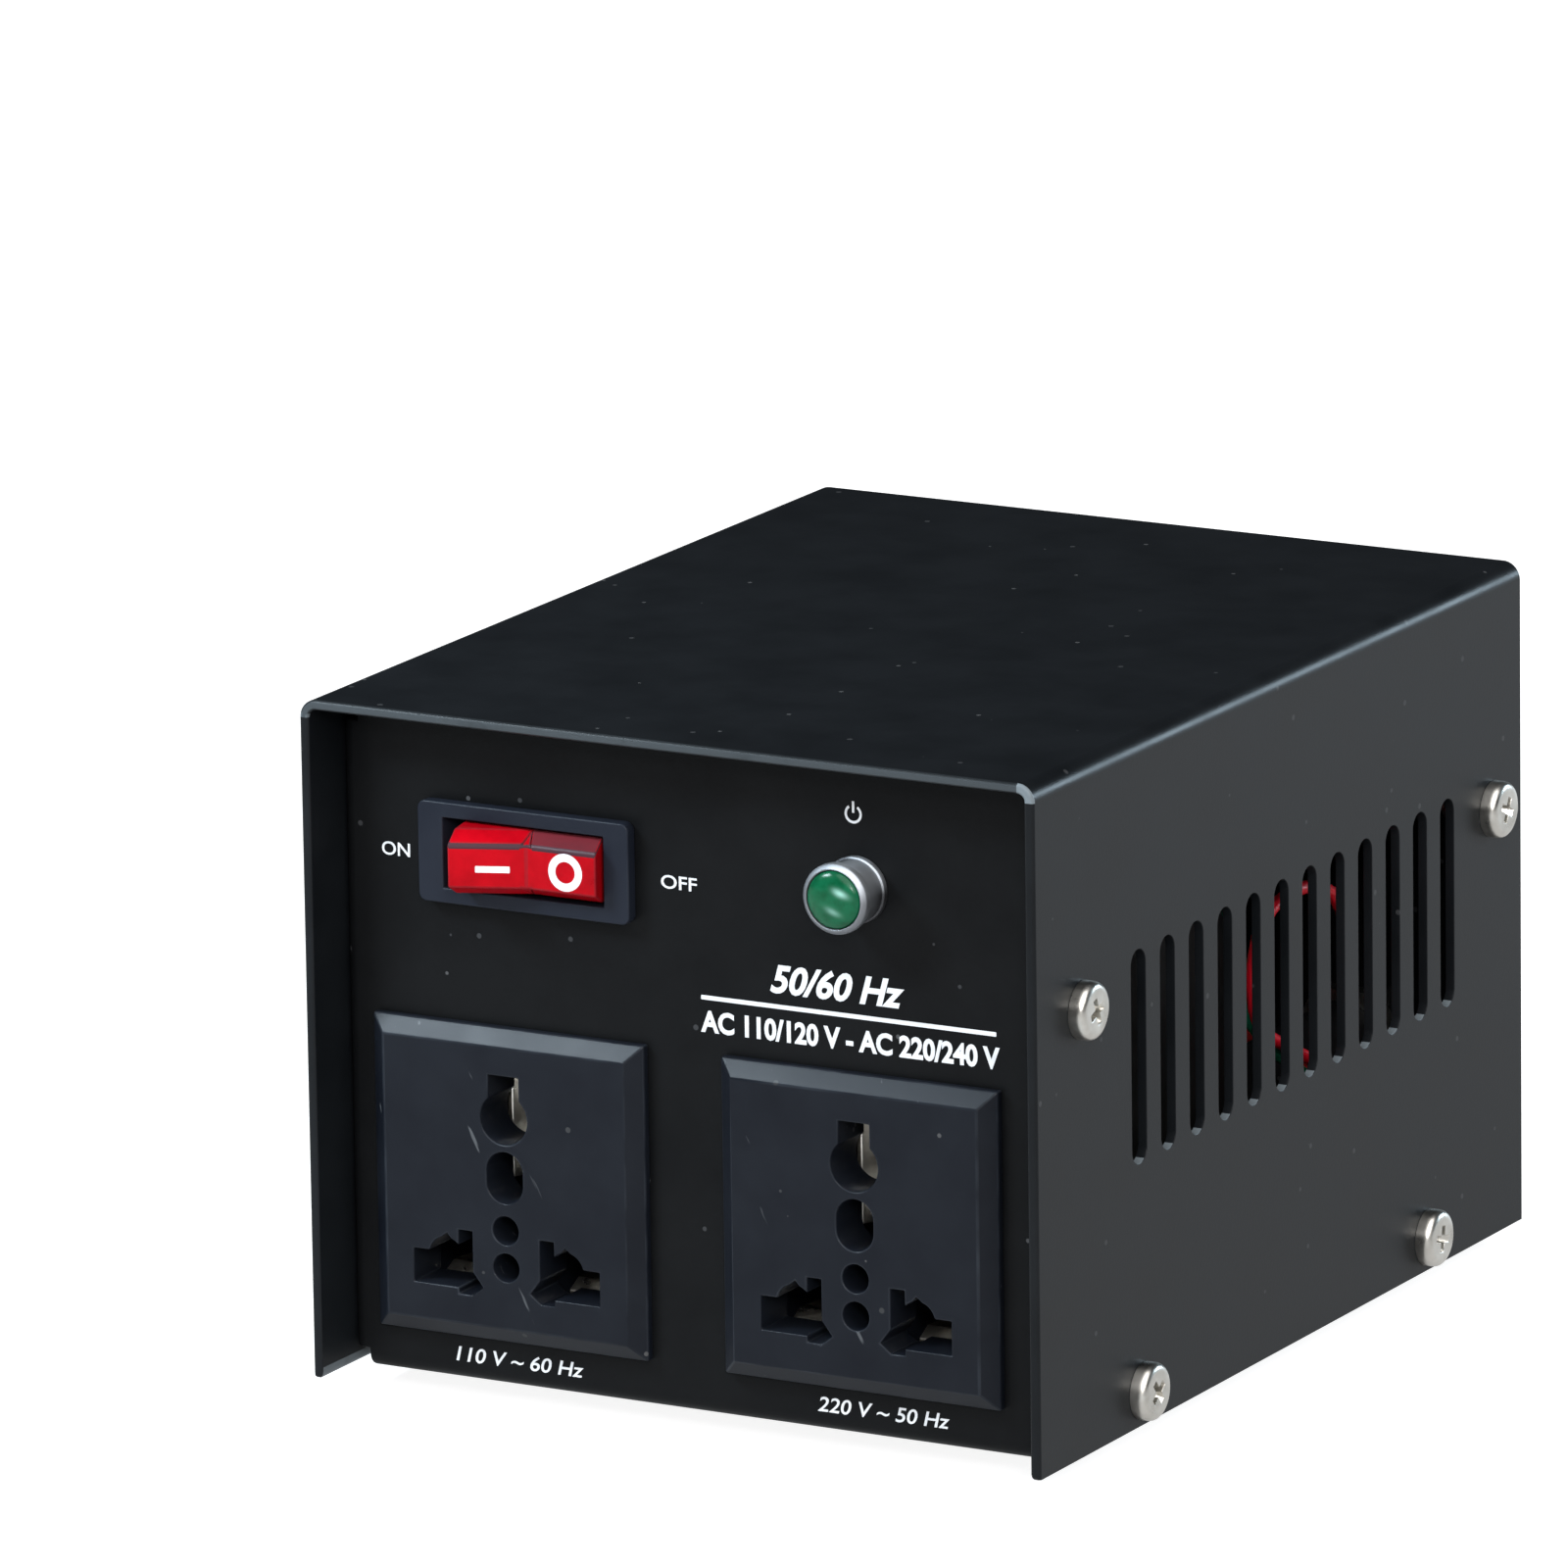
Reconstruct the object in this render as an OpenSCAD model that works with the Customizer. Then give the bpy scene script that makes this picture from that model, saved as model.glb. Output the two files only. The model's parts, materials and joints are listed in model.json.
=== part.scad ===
// Step-up and step-down transformer in a bent sheet-steel case.
// Lengths are in millimetres. The origin is under the middle of the feet.
// X runs to the right as seen from the front, Y to the back and Z up.

/* [Case] */
// Width of the cover over its side walls
case_w = 112; // [112:1:140]
// Depth of the cover from its front edge to its rear edge
case_d = 144; // [140:1:180]
// Height of the cover from its lower edge to its top
case_h = 95; // [94:1:120]
// Thickness of the cover's sheet
cover_t = 1.4; // [1:0.1:2]
// Outside radius of the cover's bends
cover_bend_r = 2.5; // [2:0.5:8]
// Thickness of the chassis's sheet
chassis_t = 1.2; // [0.8:0.1:1.6]
// Outside radius of the chassis's bends
chassis_bend_r = 2; // [1.8:0.1:3]
// Depth of the front panel behind the cover's front edge
front_recess = 8; // [8:0.5:12]
// Depth of the rear panel inside the cover's rear edge
rear_recess = 4; // [3.9:0.1:8]
// Length of the flanges behind the two panels
flange_l = 11; // [9:0.5:14]
// Height of the flanges along the base
base_flange_h = 9; // [8:0.5:14]

/* [Vent slots] */
// Number of slots in each side wall
slot_count = 12; // [1:1:12]
// Width of a slot
slot_w = 4.2; // [2:0.1:5]
// Distance from slot to slot
slot_pitch = 8.35; // [7:0.05:8.6]
// Length of a slot over its round ends
slot_l = 29.6; // [10:0.1:36]
// Height of the slots' middle above the cover's lower edge
slot_z = 51.3; // [45:0.1:55]
// Distance of the slot row's middle behind the middle of the cover
slot_y = 3; // [-5:0.5:5]

/* [Case screws] */
// Thread diameter of a case screw
screw_d = 4; // [3:0.5:4]
// Diameter of a case screw's head
screw_head_d = 8; // [7:0.1:9]
// Height of a case screw's head
screw_head_h = 2.4; // [2:0.1:3]
// Height of the upper screws above the cover's lower edge
upper_screw_z = 61.6; // [56:0.1:66]
// Distance of the upper screws behind the outer face of their panel
upper_screw_in = 5; // [4.5:0.1:6]
// Height of the lower screws above the cover's lower edge
lower_screw_z = 4.9; // [4.6:0.1:6]
// Distance between the two lower screws of a wall
lower_screw_span = 85; // [60:1:100]

/* [Feet] */
// Diameter of a foot where it meets the base
foot_d = 13; // [11:0.5:16]
// Height of a foot
foot_h = 4; // [4:0.5:8]
// Distance between the left and the right feet
foot_span_x = 80; // [76:1:84]
// Distance between the front and the rear feet
foot_span_y = 86; // [80:1:92]

/* [Outlets] */
// Width of an outlet's plate
plate_w = 42; // [40:0.5:46]
// Height of an outlet's plate
plate_h = 44; // [42:0.5:48]
// Thickness of an outlet's plate in front of the panel
plate_t = 3; // [2.5:0.1:4]
// Width of the bevel round an outlet's plate
bevel_w = 2.3; // [1:0.1:3]
// Height of the bevel, measured from the plate's face
bevel_h = 1.7; // [0.8:0.1:2.2]
// Depth of an outlet's body behind the panel's face
outlet_l = 23; // [21:0.5:26]
// Height of the outlets' middle above the cover's lower edge
outlet_z = 28.7; // [28:0.1:31]
// Place of the left outlet's middle across the panel
left_outlet_x = -28.3; // [-28.6:0.1:-27]
// Place of the right outlet's middle across the panel
right_outlet_x = 25.6; // [24:0.1:28]

/* [Rocker switch] */
// Width of the switch's bezel
bezel_w = 32.6; // [31:0.1:36]
// Height of the switch's bezel
bezel_h = 14; // [13.4:0.1:16]
// Thickness of the switch's bezel
bezel_t = 2; // [1.5:0.1:2.5]
// Length of the rocker
rocker_w = 21; // [18:0.1:21.4]
// Height of the rocker
rocker_h = 9; // [7:0.1:9.4]
// Turn of the rocker from its level position to either stop, in degrees
rocker_turn = 11; // [6:1:12]
// Place of the switch's middle across the panel
switch_x = -25.1; // [-28:0.1:-22]
// Height of the switch's middle above the cover's lower edge
switch_z = 74.3; // [72:0.1:76]

/* [Indicator lamp] */
// Diameter of the lamp's front ring
lamp_ring_d = 9.7; // [9.6:0.1:11]
// Diameter of the lens
lens_d = 8; // [6:0.1:8.2]
// Length of the lamp in front of the panel, without the lens's dome
lamp_l = 6.8; // [5:0.1:7]
// Place of the lamp across the panel
lamp_x = 25.1; // [20:0.1:30]
// Height of the lamp above the cover's lower edge
lamp_z = 75.8; // [70:0.1:78]

/* [Transformer] */
// Width of an outer leg of the laminations, which sets the core's other sizes
leg_w = 11; // [10:0.1:11.5]
// Depth of the stack of laminations
stack_l = 36; // [25:1:40]
// Place of the core's middle behind the middle of the case
core_y = 10; // [8:1:12]
// Thickness of the strap round the core
strap_t = 1.5; // [1:0.1:2]

/* [Rear panel] */
// Place of the mains inlet across the panel, as seen from the front
inlet_x = -30; // [-30:0.5:-28]
// Height of the mains inlet above the cover's lower edge
inlet_z = 25; // [22:0.5:28]
// Place of the voltage selector across the panel, as seen from the front
selector_x = 0; // [-6:0.5:6]
// Height of the voltage selector above the cover's lower edge
selector_z = 72; // [68:0.5:74]
// Travel of the voltage selector's slider
selector_travel = 3.6; // [2:0.1:4]
// Place of the fuse holder across the panel, as seen from the front
fuse_x = 32; // [28:0.5:34]
// Height of the fuse holder above the cover's lower edge
fuse_z = 25; // [22:0.5:30]

/* [Wires] */
// Diameter of an insulated wire
wire_d = 2; // [1.6:0.1:2.4]

/* [Hidden] */
$fn = 48;

// One overrun for all cuts, and the gaps between pieces that meet
over = 1;
seat_gap = 0.2;
bore_gap = 0.05;
hole_gap = 0.3;

// Planes of the case
base_z = foot_h;
front_y = -case_d / 2;
rear_y = case_d / 2;
panel_y = front_y + front_recess;
back_y = rear_y - rear_recess;
cover_in_w = case_w - 2 * cover_t;
chassis_w = cover_in_w - 2 * seat_gap;
chassis_d = back_y - panel_y;
chassis_h = case_h - cover_t - seat_gap;
floor_z = base_z + chassis_t;
relief = chassis_bend_r + chassis_t / 2;

// Case screws, threaded in the chassis's flanges
shank_l = 7;
crown_share = 0.55;
recess_arm_share = 0.55;
recess_width_share = 0.14;
recess_depth_share = 0.6;

// Hexagon nuts, by thread diameter
nut_af_share = 1.75;
nut_h_share = 0.8;

// Feet
foot_tip_share = 0.84;
foot_screw_d = 3;
foot_head_d = 5.6;
foot_head_h = 1.8;
foot_well_h = foot_h / 2 + foot_head_h / 4;
foot_well_gap = 0.4;

// Outlet: the small round hole above the pin line is the local origin
pin_line_drop = 11.1;
outlet_body_w = 38;
outlet_body_h = 40.6;
face_t = 4.4;
aperture_round_d = 4;
second_hole_z = 5.2;
third_hole_z = 12.6;
third_hole_w = 5.6;
third_hole_h = 7.2;
earth_round_z = 20.8;
earth_round_d = 7.2;
earth_slot_w = 4.7;
earth_slot_top = 26.8;
flat_in_x = 7.4;
flat_out_x = 14.5;
flat_low_z = -3.6;
flat_high_z = 1.1;
blade_x = 6.35;
blade_w = 2.2;
blade_l = 9;
round_pin_x = 9.4;
round_pin_z = 0.6;
round_pin_d = 5.2;
slant_x = 7.3;
slant_z = -0.4;
slant_l = 9;
slant_turn = 38;
chamber_wall = 2.6;
chamber_floor_wall = 2.2;
earth_chamber_wall = 3.8;
chamber_in_x = 3.7;
chamber_out_x = outlet_body_w / 2 - chamber_wall;
chamber_low_z = pin_line_drop - outlet_body_h / 2 + chamber_floor_wall;
chamber_high_z = 6.8;
earth_chamber_w = 13;
earth_chamber_low = 8.4;
earth_chamber_high = pin_line_drop + outlet_body_h / 2 - earth_chamber_wall;
clip_w = 8;
clip_out = 1.3;
clip_l = 3;
cap_t = 2;
cap_slot_w = 6.8;
cap_slot_h = 1.4;
tab_w = 6.3;
tab_t = 0.8;
tab_l = 8;
leaf_t = 0.8;
leaf_gap = 3.6;
leaf_mouth = 6.2;
leaf_lead = 2.4;
leaf_in_room = 1.5;
leaf_out_room = 2;
earth_leaf_room = 1.8;
leaf_in_x = chamber_in_x + leaf_in_room;
leaf_out_x = chamber_out_x - leaf_out_room;
earth_leaf_low = earth_chamber_low + leaf_out_room;
earth_leaf_high = earth_chamber_high - earth_leaf_room;
contact_in = 0.6;
contact_x = (flat_in_x + flat_out_x) / 2;
contact_z = (flat_low_z + flat_high_z) / 2;
earth_contact_z = (earth_round_z + earth_slot_top) / 2;
outlet_mid = [left_outlet_x, right_outlet_x];

// Rocker switch: the pivot is the local origin of the rocker
bezel_corner_r = 1.2;
rocker_gap = 0.4;
rocker_side_gap = 1.9;
rocker_window_w = rocker_w + 2 * rocker_side_gap;
rocker_face_out = 2;
pivot_to_valley = 9;
pivot_y = panel_y - bezel_t - rocker_face_out + pivot_to_valley * cos(rocker_turn);
rocker_back = 2.6;
rocker_flank_h = 1.5;
rocker_flank_l = 3;
trunnion_d = 3;
trunnion_l = 0.9;
switch_body_w = 28;
switch_body_h = 12.2;
switch_body_l = 17;
switch_well_l = 13.6;
switch_clip_w = 6;
switch_clip_out = 1.2;
switch_clip_l = 5;
switch_tab_pitch = 8;
neon_d = 4;
neon_l = 2.2;

// Indicator lamp, turned about its axis
lamp_thread_d = 7.9;
lamp_neck_d = 8.6;
lamp_flange_d = 9.2;
lamp_flange_t = 1;
lamp_ring_l = 2.2;
lamp_thread_l = 12;
lamp_nut_af = 10;
lamp_nut_h = 2.4;
lens_step = 0.35;
lens_dome_h = 1;
lens_well_l = 1.6;
lamp_lip_share = 0.7;
bulb_d = 4.4;
bulb_base_l = 4;

// Core and coil, by the leg width of the laminations
core_w = 6 * leg_w;
core_h = 5 * leg_w;
window_h = 3 * leg_w;
core_hole_x = 2.5 * leg_w;
core_hole_z = 2 * leg_w;
core_bolt_d = 4;
core_bolt_play = 0.15;
strap_foot_l = 12;
strap_bend_r = 1.8;
strap_screw_in = 6.6;
strap_screw_span = 22;
strap_screw_d = 4;
bobbin_gap = 0.2;
bobbin_wall = 1.2;
bobbin_reach = 10.4;
winding_gap = 0.25;
winding_in = 0.5;
winding_r = 5;
tag_w = 30;
tag_h = 7;
tag_t = 2;
tag_count = 4;
tag_pitch = 7;
tag_pin_w = 3;
tag_pin_h = 5;
tag_pin_t = 0.6;

// Mains inlet
inlet_flange_w = 48;
inlet_flange_h = 23;
inlet_flange_t = 2;
inlet_screw_span = 40;
inlet_body_w = 27.4;
inlet_body_h = 19.6;
inlet_body_l = 20;
inlet_mouth_w = 24.6;
inlet_mouth_h = 16.6;
inlet_mouth_l = 17;
inlet_corner = 4;
inlet_pin_pitch = 14;
inlet_pin_rise = 4;
inlet_pin_w = 2;
inlet_pin_h = 4;
inlet_pin_short = 1.6;
inlet_tab_l = 7;
small_screw_d = 3;
small_head_d = 5.2;
small_head_h = 1.6;
small_screw_l = 8;

// Voltage selector
selector_plate_w = 34;
selector_plate_h = 15;
selector_plate_t = 0.8;
selector_screw_span = 28;
selector_body_w = 21;
selector_body_h = 13;
selector_body_l = 12;
selector_well_l = 6;
selector_well_h = 7.4;
selector_tab_h = 6.8;
selector_tab_w = 8.6;
selector_play = 0.2;
selector_proud = 1.2;
selector_pin_l = 5;
selector_pin_w = 1.4;
selector_pin_pitch = 6;
selector_pin_rise = 3.4;

// Fuse holder
fuse_flange_d = 16;
fuse_flange_t = 1.4;
fuse_thread_d = 12;
fuse_body_l = 29;
fuse_bore_d = 8.2;
fuse_cap_d = 12;
fuse_cap_h = 2.2;
fuse_cap_gap = 0.3;
fuse_stem_d = 8;
fuse_stem_l = 9;
fuse_slot_w = 1.6;
fuse_slot_depth = 1.1;
fuse_glass_d = 5.2;
fuse_nut_af = 15;
fuse_nut_h = 3;
fuse_tab_l = 6;
fuse_tab_y = [-27, -16];

// Earth stud on the base
earth_x = 45;
earth_y = 57;
earth_l = 8;
lug_d = 8;
lug_t = 1;
lug_l = 12;
lug_barrel_d = 3.6;
lug_neck_w = 3;
lug_barrel_l = 5;
lug_turns = [0, -90, -45];
lug_step = lug_t + bore_gap;

// Insulating sleeves on the tabs
sleeve_wall = 0.8;
sleeve_grip = 6;
sleeve_tail = 3;

// Routes of the internal wires, points chosen by hand along each real path
wire_sides = 8;
wire_step = 5;
red_route = [
    [14, 37.9, 26], [14, 40.5, 26], [19, 43, 24.5], [28, 43.5, 19], [38, 44.6, 18],
    [43, 43.2, 18.2], [45.6, 40.2, 20.4], [46, 38.1, 25], [46, 38.1, 31], [46, 38.7, 37],
    [46, 39, 43], [46, 39, 49.5], [46.5, 36, 55.5],
    [47, 31.5, 60.3], [47, 25, 62.3], [47, 16, 62.6], [47, 9.8, 60.6],
    [47, 7.3, 55], [47, 7.5, 48.5], [47, 10.5, 44.5], [47, 16, 42], [47, 24, 38],
    [48.5, 32, 33.5], [50, 38, 30.5], [49.5, 41, 29], [47, 41, 29]
];
green_routes = [
    [
        [25.6, -28, 45.4], [25.6, -25.5, 45.4], [28, -21, 50], [33, -15, 59], [38.5, -8, 66],
        [42.5, 0, 67.5], [44.2, 6, 64.5], [44.2, 8.2, 58], [44.2, 8.6, 51], [44.4, 11, 46.2],
        [44.6, 15, 42.6], [44.6, 21.5, 38], [44.6, 29, 33.6], [44.8, 34, 27], [45.2, 37.6, 19],
        [45.2, 39.8, 11], [45, 42.3, 7], [45, 45, 7]
    ],
    [
        [-28.3, -28, 45.4], [-28.3, -25.5, 45.4], [-34, -20, 47], [-40, -13, 44], [-43.5, -2, 37],
        [-44, 10, 29], [-43.5, 22, 21], [-41, 34, 14], [-34, 42, 11], [-20, 45, 10], [0, 46, 10],
        [20, 45.5, 9.8], [29, 45, 9.4], [34.5, 46.5, 9], [36.5, 48.5, 9]
    ],
    [
        [-30, 38, 31], [-30, 35.5, 31], [-29.5, 33.5, 27], [-27, 35.5, 21], [-21, 42.5, 17],
        [-8, 48.5, 14], [6, 53.5, 11], [20, 57, 8.4], [30, 57, 8], [33, 57, 8]
    ]
];
blue_routes = [
    [
        [-23, 38, 27], [-23, 35.8, 27], [-24.2, 34, 32], [-24.4, 34.5, 42], [-23.8, 34.5, 54],
        [-23, 30, 63], [-22, 20, 66], [-21, 6, 67], [-20, -8, 69], [-18.5, -22, 74],
        [-17.2, -31, 78], [-17.1, -33.5, 78.3], [-17.1, -36, 78.3]
    ],
    [
        [-17.35, -28, 20.35], [-17.35, -25.4, 20.35], [-14, -22.5, 19], [-1.4, -21, 17],
        [11, -22.5, 19], [14.65, -25.4, 20.35], [14.65, -28, 20.35]
    ]
];
brown_routes = [
    [
        [-37, 38, 27], [-37, 35.8, 27], [-39, 33, 33], [-41, 28, 44], [-42, 18, 55],
        [-42, 4, 62], [-41, -10, 67], [-37, -24, 74], [-33.6, -31, 77.8], [-33.1, -33.5, 78.3],
        [-33.1, -36, 78.3]
    ],
    [
        [0, 51, 79.4], [0, 47, 79.4], [-2, 36, 82], [-6, 24, 84], [-9.5, 15, 83], [-10.5, 10, 79],
        [-10.5, 10, 73.3]
    ]
];
black_route = [
    [-25.1, -36, 78.3], [-25.1, -32, 78.3], [-22, -20, 80], [-17, 0, 80], [-12, 20, 79],
    [-8, 38, 78], [-6, 46, 79.4], [-6, 51, 79.4]
];
white_route = [
    [17, 52, 29], [14, 52, 29], [11, 48, 34], [9, 45, 44], [7, 44, 58], [3, 36, 70],
    [-1, 22, 78], [-3.5, 10.5, 79], [-3.5, 10, 76], [-3.5, 10, 73.3]
];
yellow_routes = [
    [
        [10.5, 10, 73.3], [10.5, 10, 76.5], [12, 3, 79], [17, -8, 74], [25, -19, 64], [33, -23.5, 52],
        [37, -25, 40], [37.2, -25, 28], [36.55, -25.4, 20.35], [36.55, -28, 20.35]
    ],
    [
        [3.5, 10, 73.3], [3.5, 10, 76.5], [2, 2, 79], [-4, -10, 74], [-13, -21, 62], [-22, -23, 48],
        [-30, -23, 36], [-37, -24, 26], [-39.25, -25.4, 20.35], [-39.25, -28, 20.35]
    ]
];
lamp_routes = [
    [
        [23.3, -48, 79.8], [23.3, -44, 79.8], [19, -28, 84], [12, -10, 86], [6, 5, 85],
        [3.6, 13, 80], [3.4, 13.8, 73.4], [3.5, 12.6, 71], [3.5, 10.3, 71]
    ],
    [
        [26.9, -48, 79.8], [26.9, -44, 79.8], [24, -28, 84], [18, -10, 86], [13, 5, 85],
        [10.7, 13, 80], [10.5, 13.8, 73.4], [10.5, 12.6, 71], [10.5, 10.3, 71]
    ]
];
// Leads of the coil, each at one place across it, with the height where it leaves the tape
coil_lead_starts = [[-10.5, 26], [-3.5, 41], [3.5, 26], [10.5, 41]];
function coil_route(x, z) = [
    [x, -17.9, z], [x, -20.2, z], [x, -20.8, z + 6], [x, -20.5, 50], [x, -18, 57],
    [x, -12, 64], [x, -3, 68.5], [x, 4, 71], [x, 9.7, 71]
];

// Plain helpers

// Children drawn in X and Z become a prism along Y
module prism_y(l) {
    translate([0, l, 0]) rotate([90, 0, 0]) linear_extrude(l) children();
}

// Children drawn in Y and Z become a prism along X
module prism_x(l) {
    rotate([90, 0, 90]) linear_extrude(l) children();
}

module rod_y(d, l) {
    rotate([-90, 0, 0]) cylinder(d = d, h = l);
}

module slab(w, h, t) {
    translate([-w / 2, 0, -h / 2]) cube([w, t, h]);
}

module round_rect(w, h, r) {
    square([w - 2 * r, h], center = true);
    square([w, h - 2 * r], center = true);
    for (x = [-1, 1], y = [-1, 1])
        translate([x * (w / 2 - r), y * (h / 2 - r)]) circle(r);
}

// A rectangle on the X axis with its two upper corners round
module arch(w, h, r) {
    translate([-w / 2, 0]) square([w, h - r]);
    translate([r - w / 2, 0]) square([w - 2 * r, h]);
    for (x = [-1, 1])
        translate([x * (w / 2 - r), h - r]) circle(r);
}

module slot_2d(w, l) {
    square([w, l - w], center = true);
    for (y = [-1, 1])
        translate([0, y * (l - w) / 2]) circle(d = w);
}

module ring_2d(w, h, r, t) {
    difference() {
        round_rect(w, h, r);
        round_rect(w - 2 * t, h - 2 * t, r - t);
    }
}

// A pan-head screw along Z: the head stands on the XY plane, the shank hangs below it
module pan_screw(d, l, head_d, head_h) {
    edge_h = head_h * (1 - crown_share);
    crown_h = head_h * crown_share;
    difference() {
        union() {
            rotate_extrude()
                polygon(concat(
                    [[0, 0], [head_d / 2, 0]],
                    [for (a = [0:15:75]) [head_d / 2 * cos(a), edge_h + crown_h * sin(a)]],
                    [[0, head_h]]
                ));
            translate([0, 0, -l]) cylinder(d = d, h = l);
        }
        for (a = [0, 90])
            rotate(a) translate([0, 0, head_h])
                cube([
                    head_d * recess_arm_share, head_d * recess_width_share,
                    2 * head_h * recess_depth_share
                ], center = true);
    }
}

// A hexagon nut along Z with its lower face on the XY plane
module hex_nut(d) {
    difference() {
        cylinder(d = d * nut_af_share / cos(30), h = d * nut_h_share, $fn = 6);
        translate([0, 0, -over]) cylinder(d = d + 2 * bore_gap, h = d * nut_h_share + 2 * over);
    }
}

// Points of a smooth curve through a route, spaced alike in each stretch
function curve_point(p0, p1, p2, p3, t) =
    (2 * p1 + (p2 - p0) * t + (2 * p0 - 5 * p1 + 4 * p2 - p3) * t * t
        + (3 * p1 - p0 - 3 * p2 + p3) * t * t * t) / 2;
function curve(route) = concat([
    for (i = [0:len(route) - 2])
        let (
            p0 = route[max(i - 1, 0)],
            p3 = route[min(i + 2, len(route) - 1)],
            n = max(1, round(norm(route[i + 1] - route[i]) / wire_step))
        )
        for (k = [0:n - 1]) curve_point(p0, route[i], route[i + 1], p3, k / n)
], [route[len(route) - 1]]);
function unit(v) = v / norm(v);
function side_of(prev, along) = unit(prev - (prev * along) * along);
function start_side(along) = side_of(abs(along[2]) > abs(along[0]) ? [1, 0, 0] : [0, 0, 1], along);
function headings(p, route) = concat(
    [unit(route[1] - route[0])],
    [for (i = [1:len(p) - 2]) unit(p[i + 1] - p[i - 1])],
    [unit(route[len(route) - 1] - route[len(route) - 2])]
);
function sides(h, i = 0, prev = undef) =
    i == len(h) ? [] :
    let (s = i == 0 ? start_side(h[0]) : side_of(prev, h[i]))
    concat([s], sides(h, i + 1, s));

// One unbroken tube along a route
module wire(route) {
    p = curve(route);
    h = headings(p, route);
    s = sides(h);
    m = wire_sides;
    last = len(p) - 1;
    points = [
        for (i = [0:last]) let (u = s[i], v = cross(h[i], u))
        for (k = [0:m - 1]) p[i] + wire_d / 2 * (cos(360 * k / m) * u + sin(360 * k / m) * v)
    ];
    walls = [
        for (i = [0:last - 1], k = [0:m - 1])
        [i * m + k, (i + 1) * m + k, (i + 1) * m + (k + 1) % m, i * m + (k + 1) % m]
    ];
    ends = [[for (k = [0:m - 1]) k], [for (k = [0:m - 1]) last * m + m - 1 - k]];
    polyhedron(points, concat(walls, ends), convexity = 8);
}

// Places that pieces share

module on_front(x, z) {
    translate([x, panel_y, base_z + z]) children();
}

module on_back(x, z) {
    translate([x, back_y, base_z + z]) children();
}

module at_feet() {
    for (x = [-1, 1], y = [-1, 1])
        translate([x * foot_span_x / 2, y * foot_span_y / 2, 0]) children();
}

module at_core() {
    translate([0, core_y, floor_z]) children();
}

module at_strap_screws() {
    for (x = [-1, 1], y = [-1, 1])
        translate([
            x * (core_w / 2 + seat_gap + strap_t + strap_screw_in),
            core_y + y * strap_screw_span / 2, 0
        ]) children();
}

module at_core_bolts() {
    for (x = [-1, 1], z = [-1, 1])
        translate([x * core_hole_x, 0, core_h / 2 + z * core_hole_z]) children();
}

// Screw places of a side wall, as Y and Z pairs
function wall_screws() = [
    [panel_y + upper_screw_in, base_z + upper_screw_z],
    [back_y - upper_screw_in, base_z + upper_screw_z],
    [-lower_screw_span / 2, base_z + lower_screw_z],
    [lower_screw_span / 2, base_z + lower_screw_z]
];

// Cover: an inverted U with vent slots in both walls

module cover() {
    color([0.07, 0.07, 0.08]) difference() {
        translate([0, front_y, base_z]) prism_y(case_d) difference() {
            arch(case_w, case_h, cover_bend_r);
            translate([0, -over])
                arch(cover_in_w, case_h - cover_t + over, cover_bend_r - cover_t);
        }
        translate([-case_w / 2 - over, 0, 0]) prism_x(case_w + 2 * over) {
            for (i = [0:slot_count - 1])
                translate([slot_y + (i - (slot_count - 1) / 2) * slot_pitch, base_z + slot_z])
                    slot_2d(slot_w, slot_l);
            for (p = wall_screws())
                translate(p) circle(d = screw_d + hole_gap);
        }
    }
}

// Chassis: front panel, base and rear panel bent from one sheet, with flanges

module chassis_shape() {
    mid_z = base_z + chassis_h / 2;
    mid_y = (panel_y + back_y) / 2;
    // Panels, base and top flanges
    translate([relief - chassis_w / 2, 0, 0]) prism_x(chassis_w - 2 * relief)
        difference() {
            translate([mid_y, mid_z]) ring_2d(chassis_d, chassis_h, chassis_bend_r, chassis_t);
            translate([panel_y + flange_l, mid_z]) square([chassis_d - 2 * flange_l, chassis_h]);
        }
    // Panels and their side flanges
    translate([0, 0, base_z + relief]) linear_extrude(chassis_h - 2 * relief)
        difference() {
            translate([0, mid_y]) ring_2d(chassis_w, chassis_d, chassis_bend_r, chassis_t);
            translate([-chassis_w, panel_y + flange_l])
                square([2 * chassis_w, chassis_d - 2 * flange_l]);
        }
    // Base and its side flanges
    flange_gap = flange_l + chassis_t;
    translate([0, panel_y + flange_gap, 0]) prism_y(chassis_d - 2 * flange_gap)
        intersection() {
            translate([0, mid_z]) ring_2d(chassis_w, chassis_h, chassis_bend_r, chassis_t);
            translate([-chassis_w, base_z]) square([2 * chassis_w, base_flange_h]);
        }
}

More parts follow.
